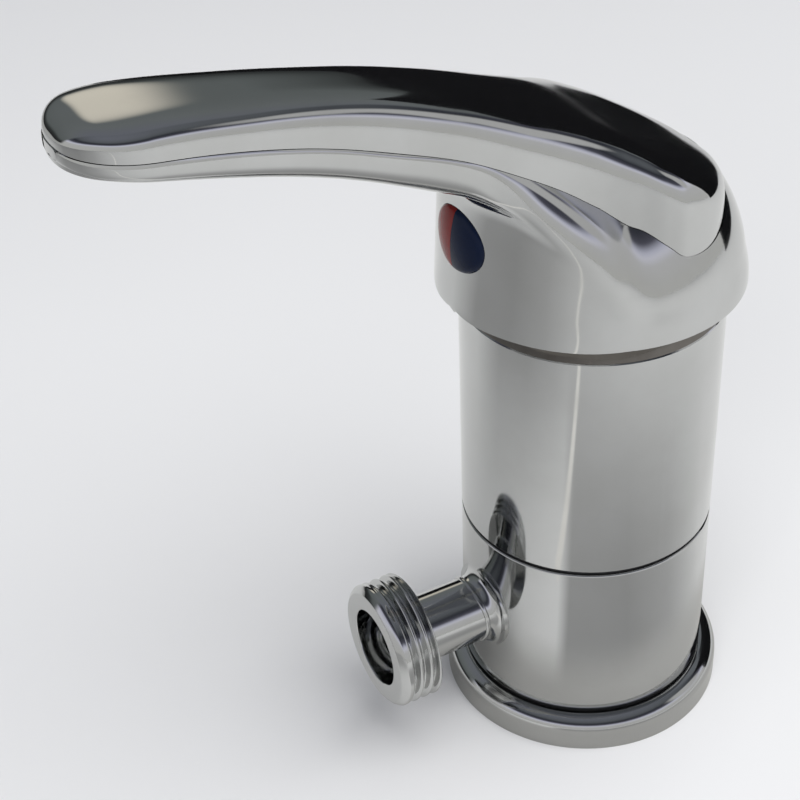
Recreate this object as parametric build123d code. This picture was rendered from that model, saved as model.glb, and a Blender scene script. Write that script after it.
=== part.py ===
from build123d import *
from math import cos, radians, sin, sqrt
import os

# Single lever shower mixer tap for a deck, with a swivelling hose outlet at its foot.
# Millimetres. +Z is up, the deck is at Z 0 on the body's axis, and the lever and outlet point to -Y.

# Body and the stack of rings at its foot
body_diameter = 41.0
body_height = 40.0
sleeve_height = 29.6
ring_height = 5.8
ring_overhang = 2.9
ring_edge = 2.4
lower_slip_thickness = 0.5
upper_slip_thickness = 0.5
slip_recess = 0.5
edge_break = 0.3

# Stem inside the sleeve
sleeve_wall = 3.45
stem_lift = 1.0
running_gap = 0.05
clip_play = 0.1
gallery_half_height = 3.6
gallery_depth = 1.2
seal_section = 1.9
seal_squeeze_gap = 0.02
seal_groove_width = 2.6
seal_offset = 7.6
clip_thickness = 1.2
clip_groove_depth = 1.1
clip_reach = 1.4
clip_opening = 60.0
ring_web = 2.2
gasket_inner = 19.8
gasket_width = 2.4
gasket_thickness = 1.4

# Supply side, in the foot of the stem
hose_thread_radius = 4.5
hose_thread_depth = 12.0
stud_thread_radius = 3.4
stud_thread_depth = 12.0
stud_back = 7.6
passage_radius = 2.8
inlet_side = 7.2
inlet_front = 4.0
outlet_back = 8.0

# Hose outlet
outlet_height = 20.7
outlet_reach = 40.5
tube_radius = 5.5
tube_bore = 3.6
root_fillet = 2.2
thread_radius = 10.4775
thread_pitch = 1.8143
thread_depth = 1.1615
thread_crest = 0.32
thread_turns = 2.75
collar_length = 6.6
collar_chamfer = 0.9
groove_overrun = 0.3
washer_bore = 6.0
washer_depth = 4.2

# Cartridge chamber and cartridge
housing_radius = 17.2
housing_play = 0.3
housing_wall = 1.8
chamber_depth = 29.7
nut_shoulder = 1.5
housing_plate = 1.8
base_flange = 3.2
base_spigot = 1.8
peg_radius = 1.9
peg_length = 2.4
peg_side = 12.8
peg_back = 3.0
port_seal_section = 1.7
port_seal_height = 1.5
disc_seal_height = 1.2
disc_seal_proud = 0.2
disc_play = 0.2
fixed_disc_thickness = 3.0
disc_gap = 0.02
moving_disc_radius = 11.6
moving_disc_thickness = 3.2
mixing_radius = 6.0
mixing_back = 5.5
mixing_back_radius = 4.0
mixing_depth = 1.6
key_radius = 1.2
key_side = 8.3
key_length = 1.3
carrier_thickness = 2.8
carrier_half_width = 9.8
carrier_boss_radius = 5.2
carrier_boss_height = 1.3
turret_gap = 0.6
turret_play = 0.2
pocket_play = 0.3
leg_clearance = 0.5
turret_flange = 3.6
turret_neck_radius = 11.7
turret_neck_top = 7.0
turret_leg = 2.7
turret_leg_half_depth = 6.0
slot_half_width = 3.6
slot_half_length = 5.8
neck_wall = 2.0
neck_height = 9.0
turret_seal_section = 1.6
turret_seal_drop = 3.4
nut_height = 4.4
nut_play = 0.2
nut_slot = 4.0

# Lever action
pivot_below_top = 4.5
lift_angle = 25.0
turn_angle = 50.0
stop_key_angle = 20.0
stop_key_height = 1.8
stop_play = 1.0
ball_radius = 3.0
ball_arm = 10.8
spindle_half = 3.5
spindle_reach = 28.5
spindle_arm_radius = 2.0
pin_radius = 1.5
cover_opening = 13.2
cover_wall = 1.3
cover_spigot_wall = 1.3

# Lever handle, where a station is the distance from the body's axis towards the tip
skirt_radius = 23.4
skirt_wall = 1.6
skirt_rise = 3.9
skirt_band = 1.4
dome_radius = 22.7
dome_wall = 2.1
front_slope = 0.75
front_start = 1.3
lever_reach = 79.6
strap_rear = 16.9
strap_half_width = 20.2
strap_widest = -2.0
strap_edge = 3.8
strap_core_drop = 2.0
strap_floor = 12.0
rear_fullness = 1.3
tip_fullness = 1.0
tip_bend_width = 7.2
tip_bend_drop = 2.6
tip_growth = 0.3
lever_headroom = 60.0
ledge = 0.45
under_edge = 4.2
hub_radius = 7.0
hub_start = 13.0
hub_end = 31.5
hub_clearance = 0.05
hub_end_play = 0.3
hub_inset = 0.4
screw_station = 26.0
screw_radius = 2.5
screw_length = 8.0
screw_boss_radius = 4.6
socket_radius = 1.4
socket_depth = 2.7
access_radius = 3.2
plug_radius = 6.2
plug_boss = 0.9
plug_boss_depth = 4.5
plug_boss_inset = 0.2
plug_recess = 2.0
plug_plate = 0.8
plug_stem_gap = 0.7
mark_crown = 0.8
mark_gap = 0.05
mark_proud = 0.1

# How far a cut or a joining solid runs past a face
past = 1.0

# Handle stations, each with the strap's half width from above
strap_plan = [(9.0, 14.0), (19.0, 11.4), (28.0, 9.7), (45.0, 8.3), (62.0, 8.7), (71.0, 9.0)]
# Handle stations, each with a height above the body's top
strap_crown = [(-16.9, 20.6), (-6.0, 26.1), (8.0, 33.7), (26.0, 41.0), (40.0, 45.2), (60.0, 49.1), (82.0, 50.6)]
crease_line = [(5.0, 20.4), (14.0, 26.9), (28.0, 34.3), (45.0, 40.4), (62.0, 44.6), (82.0, 47.7)]
under_line = [(16.0, 21.4), (24.0, 25.5), (40.0, 32.7), (60.0, 39.6), (72.0, 43.2), (82.0, 46.2)]
# Neck sections: station, half width, half height, centre above the body's top
neck_sections = [(2.0, 22.4, 22.4, 5.5), (9.0, 21.0, 14.6, 12.6), (15.0, 17.6, 10.6, 19.4),
                 (20.5, 13.2, 7.2, 25.2), (27.0, 9.8, 4.2, 30.2)]

# Derived places
body_radius = body_diameter / 2
ring_radius = body_radius + ring_overhang
stem_radius = body_radius - sleeve_wall - running_gap
chamber_radius = housing_radius + housing_play
nut_thread_radius = chamber_radius + nut_shoulder
housing_inner = housing_radius - housing_wall
disc_stack_radius = housing_inner - disc_play
sleeve_bottom = ring_height + lower_slip_thickness + running_gap
sleeve_top = sleeve_bottom + sleeve_height
shoulder = sleeve_top + running_gap + upper_slip_thickness
body_top = shoulder + body_height
sleeve_bore = stem_radius + running_gap
gallery_radius = sleeve_bore + gallery_depth
clip_top = ring_height - ring_web
clip_root = stem_radius - clip_groove_depth
clip_radius = stem_radius + clip_reach
chamber_floor = body_top - chamber_depth
pivot = body_top - pivot_below_top
lean = lift_angle / 2
ball_height = pivot - ball_arm * cos(radians(lean))
ball_back = ball_arm * sin(radians(lean))
housing_bottom = chamber_floor + base_flange
base_top = housing_bottom + base_spigot
fixed_bottom = base_top + disc_seal_proud
moving_bottom = fixed_bottom + fixed_disc_thickness + disc_gap
carrier_bottom = moving_bottom + moving_disc_thickness
carrier_top = carrier_bottom + carrier_thickness
boss_top = carrier_top + carrier_boss_height
flange_bottom = boss_top + turret_gap
flange_top = flange_bottom + turret_flange
turret_top = pivot + turret_neck_top
plate_bottom = flange_top + turret_play
housing_shoulder = plate_bottom + housing_plate
neck_bore = turret_neck_radius + turret_play
neck_radius = neck_bore + neck_wall
neck_top = housing_shoulder + neck_height
nut_top = housing_shoulder + nut_height
cover_rim = body_radius - running_gap
cover_radius = sqrt(cover_rim ** 2 + pivot_below_top ** 2)
spigot_radius = nut_thread_radius - running_gap
skirt_bottom = body_top + skirt_rise
dome_centre = skirt_bottom + skirt_band
skirt_inner = skirt_radius - skirt_wall
dome_inner = dome_radius - dome_wall
lever_ceiling = body_top + lever_headroom
lever_width = 4 * strap_half_width
screw_end = spindle_half + screw_length
port_spots = [(-inlet_side, -inlet_front), (inlet_side, -inlet_front), (0, outlet_back)]
spindle_frame = Location(Plane(origin=(0, 0, pivot), x_dir=(1, 0, 0),
                               z_dir=(0, -sin(radians(lean)), cos(radians(lean)))))
outlet_frame = Location(Plane(origin=(0, 0, outlet_height), x_dir=(1, 0, 0), z_dir=(0, -1, 0)))


def rod(radius, low, high):
    """Upright cylinder about the axis between two heights."""
    return Pos(0, 0, low) * Cylinder(radius, high - low, align=(Align.CENTER, Align.CENTER, Align.MIN))


def pipe(outer, inner, low, high):
    """Upright ring with a round hole through it."""
    return rod(outer, low, high) - rod(inner, low - past, high + past)


def o_ring(outer, section):
    """Round section ring with a given outer radius, centred at height 0."""
    return Torus(outer - section / 2, section / 2)


def side_profile(points, low):
    """Prism across the lever under a smooth side line, down to a level floor."""
    line = Spline(*[(-station, height) for station, height in points])
    start, end = points[0], points[-1]
    floor = Polyline((-end[0], end[1]), (-end[0], low), (-start[0], low), (-start[0], start[1]))
    face = make_face(Plane.YZ * (line + floor))
    return Pos(-lever_width / 2, 0, 0) * extrude(face, amount=lever_width)


def lifted(points, shift=0.0):
    """Side line points with their heights counted from the deck."""
    return [(station, body_top + height + shift) for station, height in points]


def strap_outline(grow):
    """Closed plan of the lever seen from above: a round rear, a waist and a rounded tip."""
    rear, wide = strap_rear + grow, strap_half_width + grow
    side = [(width + grow, -station) for station, width in strap_plan]
    end = side[-1]
    tip = -lever_reach - grow * tip_growth
    bend = (tip_bend_width + grow, tip + tip_bend_drop)
    right = Spline((0, rear), (wide, -strap_widest), *side, bend, (0, tip),
                   tangents=[(1, 0), (-1, 0)], tangent_scalars=[rear_fullness, tip_fullness])
    left = mirror(right, Plane.YZ)
    return make_face(right + left)


# Rings, sleeve and outlet

def make_base_ring():
    """Flange ring with a rounded top edge, a clip recess and a gasket groove underneath."""
    ring = rod(ring_radius, 0, ring_height)
    ring = fillet(ring.edges().filter_by(GeomType.CIRCLE).sort_by(Axis.Z)[-1], ring_edge)
    ring -= rod(stem_radius + running_gap, -past, ring_height + past)
    ring -= rod(clip_radius + clip_play, -past, clip_top)
    ring -= pipe(gasket_inner + gasket_width, gasket_inner, -past, gasket_thickness)
    return ring


def make_base_gasket():
    """Flat rubber ring between the base ring and the deck."""
    return pipe(gasket_inner + gasket_width, gasket_inner, 0, gasket_thickness)


def make_retaining_clip():
    """Open snap ring in the stem's groove, under the base ring's web."""
    low = clip_top - clip_thickness
    clip = pipe(clip_radius, clip_root, low, clip_top)
    span = 2 * clip_radius
    half = radians(clip_opening / 2)
    wedge = make_face(Polyline((0, 0), (span * sin(half), span * cos(half)),
                               (-span * sin(half), span * cos(half)), close=True))
    return clip - Pos(0, 0, low - past) * extrude(wedge, amount=clip_thickness + 2 * past)


def make_slip_ring(low, thickness):
    """Thin slippery ring that shows as a dark seam."""
    return pipe(body_radius - slip_recess, sleeve_bore, low, low + thickness)


def make_outlet_sleeve():
    """Sleeve that turns on the stem, with a water gallery inside and a root for the tube."""
    sleeve = rod(body_radius, sleeve_bottom, sleeve_top)
    sleeve = chamfer(sleeve.edges().filter_by(GeomType.CIRCLE), edge_break)
    start = body_radius - root_fillet
    end = body_radius + root_fillet
    foot = tube_radius + root_fillet
    outline = Plane.XZ * (Polyline((tube_radius, end), (0, end), (0, start), (foot, start), (foot, body_radius))
                          + RadiusArc((foot, body_radius), (tube_radius, end), root_fillet))
    sleeve += outlet_frame * revolve(make_face(outline), Axis.Z)
    sleeve -= outlet_frame * rod(tube_radius, 0, outlet_reach)
    sleeve -= rod(sleeve_bore, sleeve_bottom - past, sleeve_top + past)
    gallery_low = outlet_height - gallery_half_height
    gallery_high = outlet_height + gallery_half_height
    return sleeve - rod(gallery_radius, gallery_low, gallery_high)


def thread_groove():
    """Helical groove of the hose thread, cut from the face of the collar backwards."""
    outside = thread_radius + groove_overrun
    root = thread_radius - thread_depth
    half_mouth = (thread_pitch - thread_crest) / 2 * (1 + groove_overrun / thread_depth)
    half_root = thread_crest / 2
    length = thread_turns * thread_pitch
    start = outlet_reach - length
    path = Helix(thread_pitch, length + thread_pitch, root, center=(0, 0, start))
    section = Plane.XZ * Polyline((outside, start - half_mouth), (outside, start + half_mouth),
                                  (root, start + half_root), (root, start - half_root), close=True)
    return sweep(make_face(section), path=path, is_frenet=True)


def make_outlet_nipple():
    """Tube brazed into the sleeve, with a collar that carries the hose thread."""
    collar = rod(thread_radius, outlet_reach - collar_length, outlet_reach)
    collar = chamfer(collar.edges().filter_by(GeomType.CIRCLE).sort_by(Axis.Z)[-1], collar_chamfer)
    collar -= thread_groove()
    nipple = collar + rod(tube_radius, 0, outlet_reach - collar_length)
    nipple -= rod(tube_bore, -past, outlet_reach + past)
    nipple -= rod(washer_bore, outlet_reach - washer_depth, outlet_reach + past)
    nipple = outlet_frame * nipple
    return nipple - rod(gallery_radius, 0, 2 * outlet_height)


def make_stem_seal(height):
    """O ring between the stem and the sleeve."""
    return Pos(0, 0, height) * o_ring(sleeve_bore - seal_squeeze_gap, seal_section)


# Body

def make_body():
    """Cast body: cartridge chamber above, stem with water ways below."""
    body = rod(body_radius, shoulder, body_top)
    body = chamfer(body.edges().filter_by(GeomType.CIRCLE), edge_break)
    body += rod(stem_radius, stem_lift, shoulder + past)
    body -= rod(chamber_radius, chamber_floor, body_top + past)
    body -= rod(nut_thread_radius, housing_shoulder - past, body_top + past)
    for x, y in port_spots:
        body -= Pos(x, y, 0) * rod(passage_radius, outlet_height, chamber_floor + past)
    for side in (-1, 1):
        hose = Pos(side * inlet_side, -inlet_front, 0)
        body -= hose * rod(hose_thread_radius, stem_lift - past, stem_lift + hose_thread_depth)
        body -= hose * rod(passage_radius, stem_lift, outlet_height + past)
        peg_hole = rod(peg_radius, chamber_floor - peg_length, chamber_floor + past)
        body -= Pos(side * peg_side, peg_back, 0) * peg_hole
    body -= Pos(0, outlet_back, outlet_height) * Sphere(passage_radius)
    outlet_way = Pos(0, outlet_back, outlet_height) * Rot(-90, 0, 0)
    body -= outlet_way * rod(passage_radius, 0, stem_radius)
    body -= Pos(0, stud_back, 0) * rod(stud_thread_radius, stem_lift - past, stem_lift + stud_thread_depth)
    groove_root = sleeve_bore - seal_squeeze_gap - seal_section - running_gap
    for side in (-1, 1):
        middle = outlet_height + side * seal_offset
        half = seal_groove_width / 2
        body -= pipe(stem_radius + past, groove_root, middle - half, middle + half)
    return body - pipe(stem_radius + past, clip_root, clip_top - clip_thickness, clip_top)


# Cartridge

def make_cartridge_base():
    """Foot of the cartridge with three ports, seal seats on both faces and two pegs."""
    base = rod(housing_radius, chamber_floor, housing_bottom)
    base += rod(housing_inner - running_gap, housing_bottom, base_top)
    for side in (-1, 1):
        peg = rod(peg_radius, chamber_floor - peg_length, chamber_floor + past)
        base += Pos(side * peg_side, peg_back, 0) * peg
    for x, y in port_spots:
        seat = passage_radius + port_seal_section
        base -= Pos(x, y, 0) * rod(passage_radius, chamber_floor - past, base_top + past)
        base -= Pos(x, y, 0) * rod(seat, chamber_floor - past, chamber_floor + port_seal_height)
        base -= Pos(x, y, 0) * rod(seat, base_top - disc_seal_height + disc_seal_proud, base_top + past)
    return base


def make_ring_set(low, height):
    """Three rubber rings, one round each port."""
    outer = passage_radius + port_seal_section
    return Compound(children=[Pos(x, y, 0) * pipe(outer, passage_radius, low, low + height)
                              for x, y in port_spots])


def make_fixed_disc():
    """Lower ceramic disc with a hole over each port."""
    disc = rod(disc_stack_radius, fixed_bottom, fixed_bottom + fixed_disc_thickness)
    for x, y in port_spots:
        disc -= Pos(x, y, 0) * rod(passage_radius, fixed_bottom - past, moving_bottom)
    return disc


def make_moving_disc():
    """Upper ceramic disc with the mixing recess in its lower face and two key holes on top."""
    disc = rod(moving_disc_radius, moving_bottom, carrier_bottom)
    recess_top = moving_bottom + mixing_depth
    disc -= rod(mixing_radius, moving_bottom - past, recess_top)
    disc -= Pos(0, mixing_back, 0) * rod(mixing_back_radius, moving_bottom - past, recess_top)
    for side in (-1, 1):
        disc -= Pos(side * key_side, 0, 0) * rod(key_radius, carrier_bottom - key_length, carrier_bottom + past)
    return Pos(0, ball_back, 0) * disc


def make_disc_carrier():
    """Slide with two flats, two keys into the disc and a pocket for the spindle's ball."""
    plate = rod(moving_disc_radius, carrier_bottom, carrier_top)
    width = 2 * carrier_half_width
    plate &= Pos(0, 0, carrier_bottom) * Box(width, 4 * moving_disc_radius, 2 * carrier_thickness)
    plate += rod(carrier_boss_radius, carrier_top, boss_top)
    for side in (-1, 1):
        plate += Pos(side * key_side, 0, 0) * rod(key_radius, carrier_bottom - key_length, carrier_top)
    pocket_floor = ball_height - ball_radius - pocket_play
    plate -= rod(ball_radius + running_gap, pocket_floor, boss_top + past)
    return Pos(0, ball_back, 0) * plate


def make_turret():
    """Rotor with guide legs, a slot for the spindle, a pin hole, a seal groove and a stop key."""
    turret = rod(disc_stack_radius, flange_bottom, flange_top)
    turret += rod(turret_neck_radius, flange_top, turret_top)
    inner = carrier_half_width + running_gap
    for side in (-1, 1):
        leg_low = carrier_bottom + leg_clearance
        leg = Box(turret_leg, 2 * turret_leg_half_depth, flange_bottom - leg_low + past,
                  align=(Align.CENTER, Align.CENTER, Align.MIN))
        turret += Pos(side * (inner + turret_leg / 2), 0, leg_low) * leg
    stop = pipe(neck_radius - turret_play, turret_neck_radius - past, neck_top - stop_key_height, neck_top)
    turret += stop & sector(stop_key_angle / 2, neck_top - stop_key_height, neck_top)
    turret -= Pos(0, 0, pivot) * Box(2 * slot_half_width, 2 * slot_half_length, 2 * (pivot - flange_bottom + past))
    turret -= Pos(0, 0, pivot) * Rot(0, 90, 0) * Cylinder(pin_radius, 4 * turret_neck_radius)
    groove = neck_bore - running_gap - turret_seal_section - running_gap
    middle = pivot - turret_seal_drop
    half = turret_seal_section / 2 + 2 * running_gap
    return turret - pipe(turret_neck_radius + past, groove, middle - half, middle + half)


def sector(half_angle, low, high):
    """Wedge that opens towards the lever's side, for the turn stop."""
    span = 2 * neck_radius
    angle = radians(half_angle)
    if half_angle < 45:
        points = [(0, 0), (span * sin(angle), -span * cos(angle)), (-span * sin(angle), -span * cos(angle))]
    else:
        points = [(0, 0), (span * sin(angle), -span * cos(angle)), (span, -span),
                  (-span, -span), (-span * sin(angle), -span * cos(angle))]
    return Pos(0, 0, low) * extrude(make_face(Polyline(*points, close=True)), amount=high - low)


def make_turret_seal():
    """O ring between the turret's neck and the housing."""
    return Pos(0, 0, pivot - turret_seal_drop) * o_ring(neck_bore - running_gap, turret_seal_section)


def make_cartridge_housing():
    """Cup over the discs with a neck round the turret and a notch that stops the turn."""
    housing = pipe(housing_radius, housing_inner, housing_bottom, plate_bottom)
    housing += pipe(housing_radius, neck_bore, plate_bottom, housing_shoulder)
    housing += pipe(neck_radius, neck_bore, housing_shoulder, neck_top)
    notch_low = neck_top - stop_key_height - turret_play
    return housing - sector(turn_angle + stop_key_angle / 2 + stop_play, notch_low, neck_top + past)


def make_spindle():
    """Metal stem: ball, thin arm, cross hole and square top, leaning forward when shut."""
    square = Pos(0, 0, -spindle_half) * Box(2 * spindle_half, 2 * spindle_half, spindle_half + spindle_reach,
                                            align=(Align.CENTER, Align.CENTER, Align.MIN))
    square = chamfer(square.edges().filter_by(Axis.Z), edge_break)
    spindle = square + rod(spindle_arm_radius, -ball_arm, 0)
    spindle += Pos(0, 0, -ball_arm) * Sphere(ball_radius)
    spindle -= Rot(0, 90, 0) * Cylinder(pin_radius + running_gap, 4 * spindle_half)
    return spindle_frame * spindle


def make_spindle_pin():
    """Cross pin pressed into the turret."""
    length = 2 * (turret_neck_radius - turret_play)
    return Pos(0, 0, pivot) * Rot(0, 90, 0) * Cylinder(pin_radius, length)


def make_cartridge_nut():
    """Threaded ring that clamps the cartridge, with four key slots."""
    nut = pipe(nut_thread_radius, neck_radius + nut_play, housing_shoulder, nut_top)
    for turn in (45, 135):
        slot = Pos(0, 0, nut_top) * Rot(0, 0, turn) * Box(4 * nut_thread_radius, nut_slot, nut_height / 2)
        nut -= slot
    return nut


def make_dome_cover():
    """Polished cover, round about the lever's pivot so that the skirt clears it at every lift."""
    shell = Pos(0, 0, pivot) * (Sphere(cover_radius) - Sphere(cover_radius - cover_wall))
    shell &= rod(cover_radius, body_top, pivot + cover_radius)
    shell -= rod(cover_opening, body_top, pivot + cover_radius + past)
    spigot_bore = spigot_radius - cover_spigot_wall
    foot = pipe(cover_radius, spigot_bore, body_top, body_top + cover_wall)
    foot &= Pos(0, 0, pivot) * Sphere(cover_radius)
    return shell + foot + pipe(spigot_radius, spigot_bore, nut_top, body_top + cover_wall)


# Handle

def make_strap():
    """Raised top of the lever, from the rounded rear over the dome to the tip."""
    strap = Pos(0, 0, body_top) * extrude(strap_outline(0), amount=lever_headroom)
    strap &= side_profile(lifted(strap_crown), body_top + strap_floor)
    top = strap.faces().sort_by(Axis.Z)[-1]
    strap = fillet(top.edges(), strap_edge)
    core = side_profile(lifted(crease_line, -strap_core_drop), body_top)
    return strap - core


def make_under_strap():
    """Lower half of the lever, a ledge wider than the strap and rounded below."""
    under = Pos(0, 0, body_top) * extrude(strap_outline(ledge), amount=lever_headroom)
    under &= side_profile(lifted(strap_crown), body_top + strap_floor)
    front = Box(lever_width, 2 * lever_reach, 2 * lever_headroom, align=(Align.CENTER, Align.MAX, Align.CENTER))
    under &= Pos(0, -under_line[0][0], body_top) * front
    under -= side_profile(lifted(under_line), body_top)
    bottom = under.faces().filter_by(lambda face: face.normal_at().Z < -0.5)[0]
    sides = bottom.edges().filter_by(lambda edge: edge.length > 2 * strap_half_width)
    under = fillet(sides, under_edge)
    return under & side_profile(lifted(crease_line), body_top)


def make_neck():
    """Smooth swell from the dome forward and up to the lever."""
    faces = []
    for station, width, height, rise in neck_sections:
        plane = Plane(origin=(0, -station, body_top + rise), x_dir=(1, 0, 0), z_dir=(0, -1, 0))
        faces.append(plane * Ellipse(width, height))
    return loft(faces)


def make_front_wall():
    """Upright front of the skirt, cut off by a slope that runs up under the neck."""
    top = skirt_radius * front_slope + front_start
    wall = rod(skirt_radius, dome_centre, dome_centre + top)
    far = 4 * skirt_radius
    slope = make_face(Plane.YZ * Polyline((-far, dome_centre + front_start + far * front_slope),
                                          (far, dome_centre + front_start - far * front_slope),
                                          (far, dome_centre + 2 * far), close=True))
    return wall - extrude(slope, amount=far, both=True)


def make_lever():
    """Neck, strap and underside of the lever as one solid."""
    neck = make_neck() & rod(2 * skirt_radius, dome_centre, lever_ceiling)
    return neck + (make_under_strap() + make_strap())


def make_skirt():
    """Skirt, dome and upright front wall, still solid."""
    skirt = rod(skirt_radius, skirt_bottom, dome_centre)
    skirt = fillet(skirt.edges().filter_by(GeomType.CIRCLE).sort_by(Axis.Z)[0], edge_break)
    skirt += (Pos(0, 0, dome_centre) * Sphere(dome_radius)) & rod(skirt_radius, dome_centre, lever_ceiling)
    return skirt + make_front_wall()


def make_handle():
    """Cast lever: hollow skirt and dome, neck, strap, and the hub that takes the spindle."""
    handle = make_skirt() + make_lever()
    handle -= rod(skirt_inner, skirt_bottom - past, dome_centre)
    handle -= Pos(0, 0, dome_centre) * Sphere(dome_inner)
    hub = spindle_frame * rod(hub_radius, hub_start, hub_end)
    boss_frame = spindle_frame * Pos(0, 0, screw_station) * Rot(90, 0, 0)
    boss = boss_frame * rod(screw_boss_radius, 0, skirt_radius - past)
    plug_end = plug_face_distance()
    boss += boss_frame * rod(plug_radius + plug_boss, plug_end - plug_boss_depth, plug_end - plug_boss_inset)
    within = rod(skirt_radius - hub_inset, skirt_bottom, dome_centre + dome_radius - hub_inset)
    handle += (hub + boss) & within
    bore = 2 * (spindle_half + hub_clearance)
    bore_length = spindle_reach + hub_end_play - hub_start + past
    bore_box = Box(bore, bore, bore_length, align=(Align.CENTER, Align.CENTER, Align.MIN))
    handle -= spindle_frame * Pos(0, 0, hub_start - past) * bore_box
    handle -= boss_frame * rod(screw_radius, 0, screw_end)
    handle -= boss_frame * rod(access_radius, screw_end - past, plug_end + plug_radius)
    return handle - boss_frame * rod(plug_radius, plug_end - plug_recess, plug_end + plug_radius)


def plug_face_distance():
    """Distance from the spindle's axis, along the screw, to the front wall of the skirt."""
    offset = screw_station * sin(radians(lean))
    return (skirt_radius - offset) / cos(radians(lean))


def make_handle_screw():
    """Grub screw with a hexagon socket that bears on the spindle."""
    screw = rod(screw_radius, spindle_half, screw_end)
    screw -= extrude(Pos(0, 0, screw_end) * RegularPolygon(socket_radius, 6), amount=-socket_depth)
    return spindle_frame * Pos(0, 0, screw_station) * Rot(90, 0, 0) * screw


def make_indicator_plug():
    """Dark plug that closes the screw hole and carries the coloured halves."""
    end = plug_face_distance()
    low = end - plug_recess
    plug = rod(plug_radius - mark_gap, low, low + plug_plate)
    plug += rod(access_radius - mark_gap, screw_end + plug_stem_gap, low + plug_plate / 2)
    return spindle_frame * Pos(0, 0, screw_station) * Rot(90, 0, 0) * plug


def make_mark(side):
    """One coloured half of the round mark, with a low crown."""
    end = plug_face_distance()
    low = end - plug_recess + plug_plate
    rim = plug_radius - mark_gap
    high = end + mark_proud
    crown = (rim ** 2 + mark_crown ** 2) / (2 * mark_crown)
    disc = rod(rim, low, high + mark_crown)
    disc &= Pos(0, 0, high + mark_crown - crown) * Sphere(crown)
    disc &= Pos(side * (plug_radius + mark_gap), 0, 0) * Box(2 * plug_radius, 4 * plug_radius, 4 * end)
    return spindle_frame * Pos(0, 0, screw_station) * Rot(90, 0, 0) * disc


def make_pieces():
    """Every piece of the tap under its own name."""
    upper_seal = outlet_height + seal_offset
    lower_seal = outlet_height - seal_offset
    return {
        "base_ring": make_base_ring(),
        "base_gasket": make_base_gasket(),
        "retaining_clip": make_retaining_clip(),
        "lower_slip_ring": make_slip_ring(ring_height, lower_slip_thickness),
        "upper_slip_ring": make_slip_ring(shoulder - upper_slip_thickness, upper_slip_thickness),
        "outlet_sleeve": make_outlet_sleeve(),
        "outlet_nipple": make_outlet_nipple(),
        "stem_seal_lower": make_stem_seal(lower_seal),
        "stem_seal_upper": make_stem_seal(upper_seal),
        "body": make_body(),
        "cartridge_base": make_cartridge_base(),
        "port_seals": make_ring_set(chamber_floor, port_seal_height),
        "disc_seals": make_ring_set(fixed_bottom - disc_seal_height, disc_seal_height),
        "fixed_disc": make_fixed_disc(),
        "moving_disc": make_moving_disc(),
        "disc_carrier": make_disc_carrier(),
        "turret": make_turret(),
        "turret_seal": make_turret_seal(),
        "cartridge_housing": make_cartridge_housing(),
        "spindle": make_spindle(),
        "spindle_pin": make_spindle_pin(),
        "cartridge_nut": make_cartridge_nut(),
        "dome_cover": make_dome_cover(),
        "handle": make_handle(),
        "handle_screw": make_handle_screw(),
        "indicator_plug": make_indicator_plug(),
        "hot_mark": make_mark(-1),
        "cold_mark": make_mark(1),
    }


os.makedirs("parts", exist_ok=True)
for name, piece in make_pieces().items():
    export_step(piece, f"parts/{name}.step")
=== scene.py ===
"""Single lever shower mixer tap: polished pieces, materials, light and camera around the fixed frame."""
from math import cos, pi, radians, sin, sqrt

import bmesh
import bpy
import numpy as np
from bpy.props import FloatProperty, FloatVectorProperty, PointerProperty
from mathutils import Matrix, Vector


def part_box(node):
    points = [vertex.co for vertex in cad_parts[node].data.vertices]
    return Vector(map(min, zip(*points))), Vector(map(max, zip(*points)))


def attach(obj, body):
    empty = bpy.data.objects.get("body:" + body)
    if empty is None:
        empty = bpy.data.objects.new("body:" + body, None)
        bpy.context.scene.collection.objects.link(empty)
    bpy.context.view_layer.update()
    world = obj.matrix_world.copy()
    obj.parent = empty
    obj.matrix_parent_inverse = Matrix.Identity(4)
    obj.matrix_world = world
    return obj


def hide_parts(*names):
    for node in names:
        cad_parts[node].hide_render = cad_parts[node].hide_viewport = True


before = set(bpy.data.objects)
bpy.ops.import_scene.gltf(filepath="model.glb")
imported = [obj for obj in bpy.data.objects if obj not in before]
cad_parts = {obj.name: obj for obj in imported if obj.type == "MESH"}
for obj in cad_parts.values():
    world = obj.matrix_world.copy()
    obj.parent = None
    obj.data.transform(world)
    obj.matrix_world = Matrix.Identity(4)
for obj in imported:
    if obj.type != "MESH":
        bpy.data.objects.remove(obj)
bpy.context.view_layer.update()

bl_info = {
    "name": "Shower mixer tap",
    "version": (1, 0, 0),
    "blender": (4, 5, 0),
    "location": "3D View > Sidebar > Mixer Tap",
    "description": "Builds the lever, finishes, light and camera of a single lever shower mixer tap",
    "category": "Add Mesh",
}

MM = 0.001
OTHER_SIDE = np.array([-1, 1, 1])
# A station counts against the y axis, so this turns stations into y and back
TURN_Y = np.array([1, -1, 1])
# Steps round the sleeve and the outlet, and round the small pieces
ROUND_STEPS = 288
SMALL_STEPS = 96

# Lever side view: a station is the distance in millimetres from the body's axis towards the tip,
# and every height is counted from the deck.
CROWN = [(-16.9, 97.2), (-12.0, 99.9), (-6.0, 102.8), (0.0, 105.9), (8.0, 110.25), (16.0, 113.7),
         (26.0, 117.5), (40.0, 121.7), (55.0, 124.7), (70.0, 126.7), (82.0, 127.1)]
STRAP_HALF_WIDTH = [(-4.0, 20.2), (-2.0, 20.2), (0.7, 19.1), (4.0, 16.8), (9.0, 14.0), (14.0, 12.4),
                    (19.0, 11.4), (28.0, 9.7), (45.0, 8.1), (62.0, 8.7), (69.6, 9.1)]
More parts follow.
